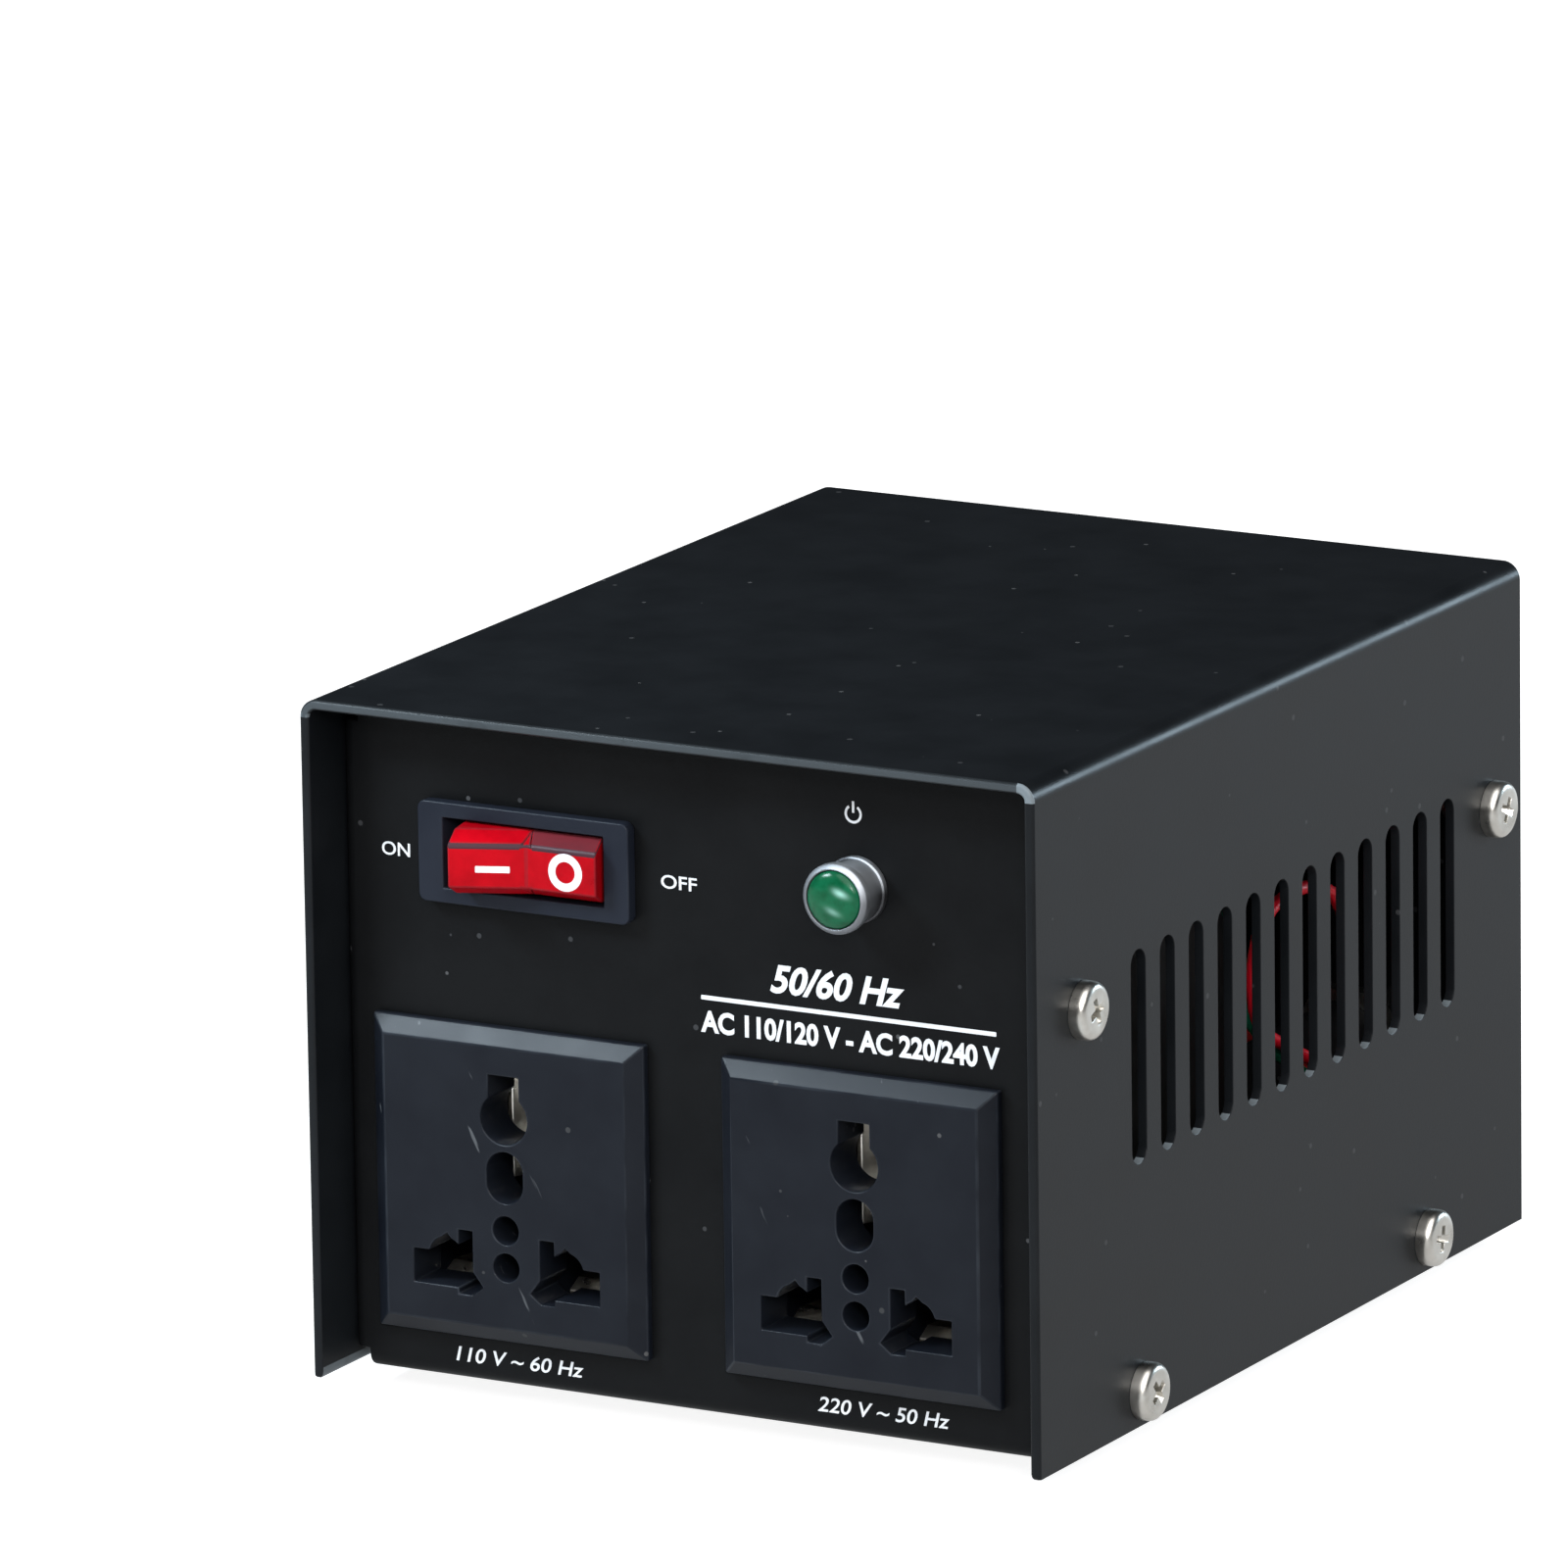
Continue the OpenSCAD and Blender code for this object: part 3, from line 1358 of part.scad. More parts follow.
module wires_brown() {
    color([0.4, 0.2, 0.1]) wires(brown_routes);
}

module wire_black() {
    color([0.06, 0.06, 0.06]) wire(black_route);
}

module wire_white() {
    color([0.9, 0.9, 0.88]) wire(white_route);
}

module wires_yellow() {
    color([0.9, 0.75, 0.1]) wires(yellow_routes);
}

module lamp_leads() {
    color([0.7, 0.1, 0.1]) wires(lamp_routes);
}

module coil_leads() {
    color([0.75, 0.45, 0.2]) wires([for (p = coil_lead_starts) coil_route(p[0], p[1])]);
}

// A sleeve over the end of a flat tab; its closed end takes the wire
module sleeve(w, t) {
    difference() {
        translate([0, -sleeve_grip, 0])
            slab(w + 2 * sleeve_wall, t + 2 * sleeve_wall, sleeve_grip + sleeve_tail);
        translate([0, -sleeve_grip - over, 0])
            slab(w + 2 * bore_gap, t + 2 * bore_gap, sleeve_grip + over);
    }
}

module tab_sleeves() {
    color([0.75, 0.1, 0.1]) {
        for (x = outlet_mid)
            on_outlet(x) at_outlet_contacts() translate([0, outlet_l + cap_t + tab_l, 0])
                sleeve(tab_w, tab_t);
        at_switch_tab_ends() rotate([0, 90, 0]) sleeve(tab_w, tab_t);
        on_back(fuse_x, fuse_z) for (i = [0, 1])
            mirror([i, 0, 0]) translate([fuse_thread_d / 2 + fuse_tab_l, fuse_tab_y[i], 0])
                rotate(-90) rotate([0, 90, 0]) sleeve(tab_w, tab_t);
        on_back(inlet_x, inlet_z) translate([0, -inlet_body_l - inlet_tab_l, 0]) at_inlet_pins()
            rotate(180) sleeve(inlet_pin_w, inlet_pin_h);
    }
}

cover();
chassis();
cover_screws_right();
cover_screws_left();
rubber_feet();
foot_screws();
foot_nuts();
outlet_left_face();
outlet_left_body();
outlet_left_contacts();
outlet_left_cap();
outlet_right_face();
outlet_right_body();
outlet_right_contacts();
outlet_right_cap();
switch_housing();
switch_rocker();
switch_terminals();
switch_neon();
lamp_bezel();
lamp_lens();
lamp_nut();
lamp_bulb();
core_laminations();
core_strap();
core_bolts();
core_nuts();
strap_screws();
strap_nuts();
bobbin();
primary_winding();
secondary_winding();
tag_strip();
inlet_body();
inlet_pins();
inlet_screws();
inlet_nuts();
selector_body();
selector_pins();
selector_slider();
selector_screws();
selector_nuts();
fuse_holder();
fuse_cap();
fuse_link();
fuse_nut();
fuse_tabs();
earth_screw();
earth_nut();
earth_lugs();
wire_red();
wires_green();
wires_blue();
wires_brown();
wire_black();
wire_white();
wires_yellow();
lamp_leads();
coil_leads();
tab_sleeves();
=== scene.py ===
# %% [markdown]
# # A step-up and step-down transformer
# The object is a small sheet-steel box with a recessed front panel. It carries two universal
# outlets, a rocker switch and a lamp. The measured solids of every piece are loaded first. They
# stay where they are, and this lesson dresses them: it rounds their edges, models what the solids
# leave plain, and gives each surface a material made of nodes.

# %% Load the measured model
import json
import math

import bmesh
import bpy
from mathutils import Matrix, Vector


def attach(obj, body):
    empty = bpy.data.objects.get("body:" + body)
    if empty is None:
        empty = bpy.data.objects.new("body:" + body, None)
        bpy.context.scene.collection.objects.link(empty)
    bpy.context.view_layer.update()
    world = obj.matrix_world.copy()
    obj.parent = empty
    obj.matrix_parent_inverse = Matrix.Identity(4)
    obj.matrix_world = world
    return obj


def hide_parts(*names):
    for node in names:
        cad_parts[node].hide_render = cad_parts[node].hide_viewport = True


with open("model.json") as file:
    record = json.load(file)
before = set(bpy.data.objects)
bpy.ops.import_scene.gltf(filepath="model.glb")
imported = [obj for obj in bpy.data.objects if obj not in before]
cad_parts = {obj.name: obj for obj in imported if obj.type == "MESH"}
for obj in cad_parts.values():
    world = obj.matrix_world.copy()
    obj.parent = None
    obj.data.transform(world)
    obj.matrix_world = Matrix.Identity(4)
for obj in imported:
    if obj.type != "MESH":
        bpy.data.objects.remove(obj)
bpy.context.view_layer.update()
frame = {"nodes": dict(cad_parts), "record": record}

MM = 0.001
MICROMETRE = 1e-6
print("nodes:", len(frame["nodes"]))

# %% [markdown]
# ## The camera
# The edges of the case in the photograph give the lens and the camera's place. The lens is long
# and stands two metres away, so the box looks almost parallel. A camera is placed by its matrix:
# its three columns are the directions to the right, up and back, and the fourth is the place.

# %% Place the camera
CAMERA_PLACE = Vector((0.96634, -1.76747, 0.57611))
CAMERA_RIGHT = Vector((0.87448, 0.48486, -0.01393)).normalized()
CAMERA_UP = Vector((-0.10472, 0.21675, 0.97059))
LENS_MM = 347.34
SENSOR_MM = 36
SIGHT_M = 50

camera_back = CAMERA_RIGHT.cross(CAMERA_UP).normalized()
camera_up = camera_back.cross(CAMERA_RIGHT)
camera = bpy.data.objects.new("studio_camera", bpy.data.cameras.new("studio_camera"))
camera.data.sensor_width = SENSOR_MM
camera.data.lens = LENS_MM
camera.data.clip_end = SIGHT_M
camera.matrix_world = Matrix.Translation(CAMERA_PLACE) @ Matrix(
    (CAMERA_RIGHT, camera_up, camera_back)).transposed().to_4x4()
bpy.context.scene.collection.objects.link(camera)
bpy.context.scene.camera = camera
print("camera distance in m:", round(CAMERA_PLACE.length, 3))

# %% [markdown]
# ## Small helpers for modelling
# An operator works on what is selected, and the loaded solids are selected at the start. So each
# step first deselects everything and then picks its own object. Modifiers are applied at once,
# because a finished piece keeps only its mesh.

# %% Helpers for selecting, applying and finishing


def pick(piece):
    """Selects one object alone and makes it the active one."""
    bpy.ops.object.select_all(action="DESELECT")
    piece.select_set(True)
    bpy.context.view_layer.objects.active = piece


def apply_modifier(piece, kind, **settings):
    """Adds one modifier with its settings and applies it."""
    pick(piece)
    modifier = piece.modifiers.new(kind.lower(), kind)
    for key, value in settings.items():
        setattr(modifier, key, value)
    bpy.ops.object.modifier_apply(modifier=modifier.name)


def smooth(piece, degrees=35):
    """Shades a piece smooth, but keeps its edges sharp where they turn more than the angle."""
    pick(piece)
    bpy.ops.object.shade_smooth_by_angle(angle=math.radians(degrees))


def settle(piece):
    """Moves the object's place and turn into its mesh, so that the object sits at the origin."""
    pick(piece)
    bpy.ops.object.transform_apply(location=True, rotation=True, scale=True)


def select_where(piece, part, test):
    """Enters edit mode with only those verts, edges or faces selected that pass the test."""
    pick(piece)
    bpy.ops.object.mode_set(mode="EDIT")
    bpy.ops.mesh.select_mode(type={"verts": "VERT", "edges": "EDGE", "faces": "FACE"}[part])
    bpy.ops.mesh.select_all(action="DESELECT")
    shape = bmesh.from_edit_mesh(piece.data)
    for item in getattr(shape, part):
        item.select_set(bool(test(item)))
    shape.select_flush_mode()
    bmesh.update_edit_mesh(piece.data)


def finish_piece(piece, name, body, slot, *nodes):
    """Names a piece, gives it its finish and its body, and says which solids it stands for."""
    piece.name = name
    piece.data.name = name
    piece.data.materials.clear()
    piece.data.materials.append(FINISHES[slot])
    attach(piece, body)
    if nodes:
        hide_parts(*nodes)
    return piece


# %% [markdown]
# ## Helpers for materials
# A material is a small graph. These helpers add a node with its values, join two sockets, and
# start a group that several materials share, so that each graph below reads as a short list of
# what feeds what.

# %% Helpers for shader nodes


def add(tree, kind, **values):
    """Adds a shader node. Names with a capital are its sockets, the others its settings."""
    node = tree.nodes.new("ShaderNode" + kind)
    for key, value in values.items():
        if key[0].isupper():
            node.inputs[key.replace("_", " ")].default_value = value
        else:
            setattr(node, key, value)
    return node


def link(tree, start, end):
    """Joins an output to an input; each is a node and the name or number of its socket."""
    tree.links.new(start[0].outputs[start[1]], end[0].inputs[end[1]])


def new_group(name, inputs, outputs):
    """Makes an empty node group with float inputs and outputs."""
    group = bpy.data.node_groups.new(name, "ShaderNodeTree")
    for label, value in inputs.items():
        socket = group.interface.new_socket(label, in_out="INPUT", socket_type="NodeSocketFloat")
        socket.default_value = value
    for label in outputs:
        group.interface.new_socket(label, in_out="OUTPUT", socket_type="NodeSocketFloat")
    return group, group.nodes.new("NodeGroupInput"), group.nodes.new("NodeGroupOutput")


print("shader helpers ready")

# %% [markdown]
# ## Grain
# Powder coat and moulded plastic are never flat. Both have a fine relief and a faint change of
# shade. One group makes both from two noises in the piece's own coordinates, in metres, so a
# scale of 3000 gives bumps a third of a millimetre wide. The shade is mostly the broad noise,
# with a share of the fine one.

# %% The grain group
FINE_SHARE = 0.35
grain, g_in, g_out = new_group("grain", {"Scale": 3000.0, "Patch": 60.0}, ["Height", "Shade"])
coords = add(grain, "TexCoord")
fine = add(grain, "TexNoise", Detail=2.0, Roughness=0.6)
broad = add(grain, "TexNoise", Detail=3.0, Roughness=0.55)
spread = add(grain, "MapRange", From_Min=0.3, From_Max=0.7)
shade_mix = add(grain, "Math", operation="MULTIPLY_ADD")
shade_mix.inputs[1].default_value = FINE_SHARE
link(grain, (coords, "Object"), (fine, "Vector"))
link(grain, (coords, "Object"), (broad, "Vector"))
link(grain, (g_in, "Scale"), (fine, "Scale"))
link(grain, (g_in, "Patch"), (broad, "Scale"))
link(grain, (fine, 0), (g_out, "Height"))
link(grain, (broad, 0), (spread, "Value"))
link(grain, (fine, 0), (shade_mix, 0))
link(grain, (spread, 0), (shade_mix, 2))
link(grain, (shade_mix, 0), (g_out, "Shade"))
print("group:", grain.name)

# %% [markdown]
# ## Dust
# Small pale specks lie on the black surfaces. A cell pattern has one middle in each cell, and
# the distance to it is small only near that middle, which gives a round speck. Every cell also
# has a random colour, and most cells are dropped by it, so the specks lie without order.

# %% The dust group
dust, d_in, d_out = new_group("dust", {"Scale": 170.0, "Size": 0.035, "Amount": 0.3}, ["Mask"])
coords = add(dust, "TexCoord")
cells = add(dust, "TexVoronoi", Randomness=1.0)
speck = add(dust, "Math", operation="LESS_THAN")
split = add(dust, "SeparateColor")
chosen = add(dust, "Math", operation="LESS_THAN")
mask = add(dust, "Math", operation="MULTIPLY")
link(dust, (coords, "Object"), (cells, "Vector"))
link(dust, (d_in, "Scale"), (cells, "Scale"))
link(dust, (cells, "Distance"), (speck, 0))
link(dust, (d_in, "Size"), (speck, 1))
link(dust, (cells, "Color"), (split, "Color"))
link(dust, (split, "Red"), (chosen, 0))
link(dust, (d_in, "Amount"), (chosen, 1))
link(dust, (speck, 0), (mask, 0))
link(dust, (chosen, 0), (mask, 1))
link(dust, (mask, 0), (d_out, "Mask"))
print("group:", dust.name)

# %% [markdown]
# ## Streaks
# Rolled and turned metal, and plastic that plugs have rubbed, carry fine lines that run one way.
# A noise stretched along one axis gives them. The group takes the three scales and a tilt about
# the Y axis, so that each material sets how its lines run.

# %% The streak group
streaks, s_in, s_out = new_group(
    "streaks", {"Along_X": 200.0, "Along_Y": 3000.0, "Along_Z": 3000.0, "Low": 0.45, "High": 0.6,
                "Tilt": 0.0},
    ["Height", "Mask"])
coords = add(streaks, "TexCoord")
tilted = add(streaks, "VectorRotate", rotation_type="Y_AXIS")
scales = add(streaks, "CombineXYZ")
stretched = add(streaks, "VectorMath", operation="MULTIPLY")
lines = add(streaks, "TexNoise", Scale=1.0, Detail=2.0)
cut = add(streaks, "MapRange")
for axis, label in enumerate(("Along_X", "Along_Y", "Along_Z")):
    link(streaks, (s_in, label), (scales, axis))
link(streaks, (coords, "Object"), (tilted, "Vector"))
link(streaks, (s_in, "Tilt"), (tilted, "Angle"))
link(streaks, (tilted, 0), (stretched, 0))
link(streaks, (scales, 0), (stretched, 1))
link(streaks, (stretched, 0), (lines, "Vector"))
link(streaks, (lines, 0), (s_out, "Height"))
link(streaks, (lines, 0), (cut, "Value"))
link(streaks, (s_in, "Low"), (cut, "From Min"))
link(streaks, (s_in, "High"), (cut, "From Max"))
link(streaks, (cut, 0), (s_out, "Mask"))
print("group:", streaks.name)

# %% [markdown]
# ## Worn edges and painted light
# Coat and plating are thinner and rubbed on edges. The bevel step below writes a number on each
# face, under the name "edge": a quarter on the bevels and none on the flat faces. A few places get
# a number of their own later. On some finishes the number carries a painted highlight or painted
# shade instead of wear. The group reads it and breaks it up with a noise, so that an edge is
# marked in places and not all along.

# %% The edge group
edges, e_in, e_out = new_group("edges", {"Low": 0.35, "High": 0.75}, ["Mask"])
marked = add(edges, "Attribute", attribute_name="edge")
coords = add(edges, "TexCoord")
patches = add(edges, "TexNoise", Scale=140.0, Detail=3.0)
band = add(edges, "MapRange")
both = add(edges, "Math", operation="MULTIPLY")
link(edges, (coords, "Object"), (patches, "Vector"))
link(edges, (patches, 0), (band, "Value"))
link(edges, (e_in, "Low"), (band, "From Min"))
link(edges, (e_in, "High"), (band, "From Max"))
link(edges, (band, 0), (both, 0))
link(edges, (marked, "Fac"), (both, 1))
link(edges, (both, 0), (e_out, "Mask"))
print("group:", edges.name)

# %% [markdown]
# ## The finishes
# One function builds a surface from two shades, a bump and optional specks, lines, and a mark on
# edges, which is rubbed wear on some finishes and painted highlight or painted shade on others. The
# constant values sit on the shader's own sockets. What changes over the surface comes from the
# groups above. A colour is the share of the light that comes back, so for a black coat it is a
# hundredth or less.

# %% A function for all solid finishes
FINISHES = {}


def mix(tree, factor, first, second):
    """A colour mix; factor is an output, first a colour or an output, second a colour."""
    node = add(tree, "Mix", data_type="RGBA")
    link(tree, factor, (node, 0))
    if isinstance(first[0], bpy.types.Node):
        link(tree, first, (node, 6))
    else:
        node.inputs[6].default_value = (*first, 1)
    node.inputs[7].default_value = (*second, 1)
    return node, 2


def place_group(tree, group, **values):
    """Places a shared group in a material, with the values of its inputs."""
    node = tree.nodes.new("ShaderNodeGroup")
    node.node_tree = group
    for key, value in values.items():
        node.inputs[key].default_value = value
    return node


def finish(slot, dark, light, roughness, bump_um, scale=3000.0, patch=60.0, shader=None,
           specks=(), lines=None, line_colour=None, wear_and_light=None, rough_range=0.08):
    """Builds the finish of one slot: shades, relief, specks, lines, and marks on its edges.

    The edge mark is three values: where in the noise it starts, where it is full, and its colour,
    which is rubbed wear on some finishes and painted highlight or painted shade on others.
    Lines change the colour where they have one of their own, and else they are the relief."""
    material = bpy.data.materials.new(slot)
    material.use_nodes = True
    tree = material.node_tree
    surface = tree.nodes["Principled BSDF"]
    for key, value in (shader or {}).items():
        surface.inputs[key].default_value = value
    base = place_group(tree, grain, Scale=scale, Patch=patch)
    colour = mix(tree, (base, "Shade"), dark, light)
    height = (base, "Height")
    if lines:
        streak = place_group(tree, streaks, **lines)
        if line_colour:
            colour = mix(tree, (streak, "Mask"), colour, line_colour)
        else:
            height = (streak, "Height")
    # The edge mark paints rubbed wear on some finishes, and painted highlight or painted shade on
    # others.
    if wear_and_light:
        low, high, edge_colour = wear_and_light
        edge_mask = place_group(tree, edges, Low=low, High=high)
        colour = mix(tree, (edge_mask, "Mask"), colour, edge_colour)
    for cells_per_metre, size, amount, shade in specks:
        spots = place_group(tree, dust, Scale=cells_per_metre, Size=size, Amount=amount)
        colour = mix(tree, (spots, "Mask"), colour, shade)
    link(tree, colour, (surface, "Base Color"))
    rough = add(tree, "MapRange", To_Min=roughness - rough_range, To_Max=roughness + rough_range)
    link(tree, (base, "Shade"), (rough, "Value"))
    link(tree, (rough, 0), (surface, "Roughness"))
    bump = add(tree, "Bump", Strength=1.0, Distance=bump_um * MICROMETRE)
    link(tree, height, (bump, "Height"))
    link(tree, (bump, 0), (surface, "Normal"))
    FINISHES[slot] = material
    return material


print("finish function ready")

# %% [markdown]
# ## Black coat
# The cover and the chassis wear a fine black powder coat. It is almost black and scatters light,
# so it gets a middling roughness, a low specular level and a bump of a few micrometres. Its edge
# colour is paler: along the front edge this is partly coat rubbed thin and partly a painted
# highlight, and on the right corner and the ends of the slots it is a painted highlight. The
# chassis is the recessed front panel, and its coat is painted a shade darker with a lower specular
# level, as painted shade of the recess. Fine dust and some lint lie on it. Each kind of speck is
# four values: cells per metre, size, share of the cells, and colour.

# %% Coats of the case
FINE_DUST = (260.0, 0.085, 0.1, (0.055, 0.056, 0.058))
LINT = (150.0, 0.06, 0.5, (0.03, 0.031, 0.033))
RUBBED_AND_HIGHLIGHT = (0.27, 0.315, 0.345)
COAT_SHADER = {"Specular IOR Level": 0.13}
PANEL_SHADER = {"Specular IOR Level": 0.08}
# Its edge colour is pale: part rubbed coat and part painted highlight on the rim, painted highlight
# on the corner and slot ends.
finish("case_coat", dark=(0.0035, 0.0042, 0.0051), light=(0.0062, 0.0072, 0.0085), roughness=0.36,
       bump_um=9, scale=2600.0, patch=70.0, shader=COAT_SHADER, specks=(FINE_DUST, LINT),
       wear_and_light=(0.0, 0.4, RUBBED_AND_HIGHLIGHT), rough_range=0.03)
# The same coat painted a shade darker, with a lower specular level: painted shade of the recessed
# panel.
finish("chassis_coat", dark=(0.0028, 0.003, 0.0034), light=(0.0048, 0.0051, 0.0056), roughness=0.4,
       bump_um=9, scale=2600.0, patch=70.0, shader=PANEL_SHADER, specks=(FINE_DUST, LINT),
       rough_range=0.03)
print("coats:", list(FINISHES))

# %% [markdown]
# ## Plastics and rubber
# The outlets are moulded in a dark blue-grey plastic with a matte, sparked face and a few slanted
# rubs from plugs; their edge colour is paler, a painted highlight on the rounded rims of the
# apertures. The bezel is a shade lighter. The rocker is a saturated red with a low specular level,
# which keeps it red under white light, and its edge colour is dark: painted shade along its
# ridge. The lens is a deep green, and its edge colour is the pale green of two painted highlights,
# which are put on it later.

# %% Moulded pieces
DARK = {"Specular IOR Level": 0.12}
RUBS = {"Along_X": 900.0, "Along_Y": 900.0, "Along_Z": 110.0, "Low": 0.74, "High": 0.78,
        "Tilt": 0.5}
# Its edge colour is a painted highlight on the rounded rims of the apertures.
finish("outlet_plastic", dark=(0.0038, 0.0048, 0.0078), light=(0.0068, 0.0083, 0.012),
       roughness=0.34, bump_um=5, scale=4200.0, patch=90.0, shader=DARK, specks=(FINE_DUST, LINT),
       lines=RUBS, line_colour=(0.06, 0.064, 0.07), wear_and_light=(0.35, 0.7, (0.05, 0.058, 0.07)),
       rough_range=0.03)
finish("switch_plastic", dark=(0.0075, 0.0095, 0.0155), light=(0.011, 0.0135, 0.0205),
       roughness=0.4, bump_um=5, scale=4200.0, patch=90.0, shader=DARK, specks=(FINE_DUST,),
       wear_and_light=(0.35, 0.7, (0.03, 0.035, 0.045)))
finish("cap_plastic", dark=(0.01, 0.01, 0.011), light=(0.016, 0.016, 0.017), roughness=0.45,
       bump_um=5, scale=3600.0, shader=DARK)
finish("inlet_plastic", dark=(0.009, 0.009, 0.01), light=(0.015, 0.015, 0.016), roughness=0.4,
       bump_um=5, scale=3600.0, shader=DARK, specks=(FINE_DUST,))
finish("foot_rubber", dark=(0.008, 0.008, 0.008), light=(0.02, 0.02, 0.019), roughness=0.72,
       bump_um=14, scale=2400.0)
# Its edge colour is dark: painted shade on the bevels, the ridge and the right half of the flank.
finish("rocker_plastic", dark=(0.19, 0.0006, 0.003), light=(0.37, 0.0012, 0.006), roughness=0.3,
       bump_um=3, scale=1500.0, patch=130.0, shader={"Specular IOR Level": 0.07},
       wear_and_light=(0.0, 0.3, (0.03, 0.02, 0.026)), rough_range=0.05)
# Its edge colour is the pale green of the painted highlights in the lens.
finish("lens_plastic", dark=(0.001, 0.045, 0.016), light=(0.003, 0.085, 0.036), roughness=0.2,
       bump_um=1, scale=1500.0, patch=500.0, shader={"Specular IOR Level": 0.2},
       wear_and_light=(0.0, 0.3, (0.3, 0.55, 0.47)), rough_range=0.03)
finish("slider_plastic", dark=(0.45, 0.012, 0.01), light=(0.6, 0.02, 0.015), roughness=0.35,
       bump_um=3, scale=3000.0)
finish("bobbin_plastic", dark=(0.2, 0.19, 0.15), light=(0.3, 0.28, 0.23), roughness=0.5, bump_um=4,
       scale=3000.0)
finish("tag_board", dark=(0.09, 0.04, 0.015), light=(0.15, 0.07, 0.03), roughness=0.5, bump_um=6,
       scale=2500.0, patch=200.0)
finish("sleeve_plastic", dark=(0.3, 0.008, 0.01), light=(0.42, 0.015, 0.015), roughness=0.4,
       bump_um=3, scale=2500.0)
finish("bulb_glass", dark=(0.5, 0.5, 0.48), light=(0.62, 0.62, 0.6), roughness=0.12, bump_um=1,
       scale=1200.0, patch=80.0, shader={"Transmission Weight": 0.8, "IOR": 1.5}, rough_range=0.04)
print("plastics:", len(FINISHES))

# %% [markdown]
# ## Metals
# Screws and nuts are bright plated steel, with fine turned lines and paler worn rims. The ring of
# the lamp is satin chrome, given a near-black colour as a painted dark reflection of the panel,
# and its edge colour is a painted highlight on the side that the light catches. The contacts are
# plated brass, which plugs rub bright at the edges. The strap round the core is dipped in black
# varnish, whose near-black colour also paints the shade inside the case behind the slots, so it
# isn't bare metal and stays dark. The laminations show as a stack of dark sheets half a millimetre
# thick, so their lines run across the stack. A metal is fully metallic, and its colour is the
# colour of its reflection.

# %% Metal pieces
METAL = {"Metallic": 1.0}
TURNED = {"Along_X": 2600.0, "Along_Y": 2600.0, "Along_Z": 500.0, "Low": 0.4, "High": 0.6}
STACKED = {"Along_X": 12.0, "Along_Y": 2000.0, "Along_Z": 12.0, "Low": 0.4, "High": 0.6}
finish("screw_steel", dark=(0.4, 0.385, 0.35), light=(0.58, 0.56, 0.52), roughness=0.3, bump_um=6,
       scale=1800.0, patch=250.0, shader=METAL, lines=TURNED, wear_and_light=(0.3, 0.7, (0.75, 0.73, 0.7)))
finish("zinc_steel", dark=(0.42, 0.42, 0.4), light=(0.6, 0.6, 0.57), roughness=0.32, bump_um=6,
       scale=1800.0, patch=200.0, shader=METAL, lines=TURNED, wear_and_light=(0.3, 0.7, (0.75, 0.75, 0.72)))
# Painted reflection and highlight: the near-black colour is the mirrored panel, the pale edge
# colour the lit side.
finish("lamp_chrome", dark=(0.05, 0.05, 0.055), light=(0.08, 0.08, 0.085), roughness=0.58,
       bump_um=2, scale=1200.0, patch=300.0, shader=METAL, wear_and_light=(0.0, 0.3, (0.52, 0.545, 0.58)),
       rough_range=0.05)
finish("contact_brass", dark=(0.3, 0.27, 0.2), light=(0.55, 0.5, 0.4), roughness=0.3, bump_um=20,
       scale=1200.0, patch=300.0, shader=METAL, wear_and_light=(0.0, 0.1, (1.0, 0.96, 0.88)))
# Near black: black varnish, and painted shade of the inside of the case behind the slots.
finish("strap_steel", dark=(0.006, 0.006, 0.006), light=(0.014, 0.014, 0.013), roughness=0.34,
       bump_um=14, scale=900.0, patch=70.0, shader=DARK, wear_and_light=(0.4, 0.7, (0.1, 0.1, 0.095)))
finish("lamination_steel", dark=(0.05, 0.05, 0.055), light=(0.13, 0.125, 0.12), roughness=0.45,
       bump_um=60, scale=900.0, patch=60.0, shader=METAL, lines=STACKED)
print("metals:", len(FINISHES))

# %% [markdown]
# ## Windings and wires
# Each winding is wrapped in amber tape, whose turns show as faint bands. Wire insulation is a
# soft glossy plastic; one loop gives all its colours.

# %% Tape and insulation
TURNS = {"Along_X": 20.0, "Along_Y": 20.0, "Along_Z": 420.0, "Low": 0.4, "High": 0.6}
finish("winding_tape", dark=(0.16, 0.075, 0.01), light=(0.28, 0.15, 0.025), roughness=0.24,
       bump_um=40, scale=500.0, patch=90.0, shader={"Coat Weight": 0.3}, lines=TURNS)
INSULATION = {
    "red": (0.7, 0.006, 0.02), "green": (0.006, 0.17, 0.085), "blue": (0.008, 0.04, 0.3),
    "brown": (0.08, 0.03, 0.012), "black": (0.012, 0.012, 0.012), "white": (0.5, 0.5, 0.47),
    "yellow": (0.5, 0.33, 0.015)}
LIGHTER = 1.35
for name, colour in INSULATION.items():
    finish(name + "_insulation", dark=colour, light=tuple(min(1.0, LIGHTER * c) for c in colour),
           roughness=0.34, bump_um=4, scale=1500.0, patch=120.0)
print("finishes in all:", len(FINISHES))

# %% [markdown]
# ## Dress the measured solids
# Every solid gets the finish of its slot. The record says which slot each node has.

# %% Give each solid its finish
SLOT_OF = {part["node"]: part["material_slot"] for part in frame["record"]["subparts"]}
BODY_OF = {node: body for body, nodes in frame["record"]["behaviour"]["bodies"].items()
           for node in nodes}
for node, solid in frame["nodes"].items():
    solid.data.materials.clear()
    solid.data.materials.append(FINISHES[SLOT_OF[node]])
print("dressed:", len(SLOT_OF))

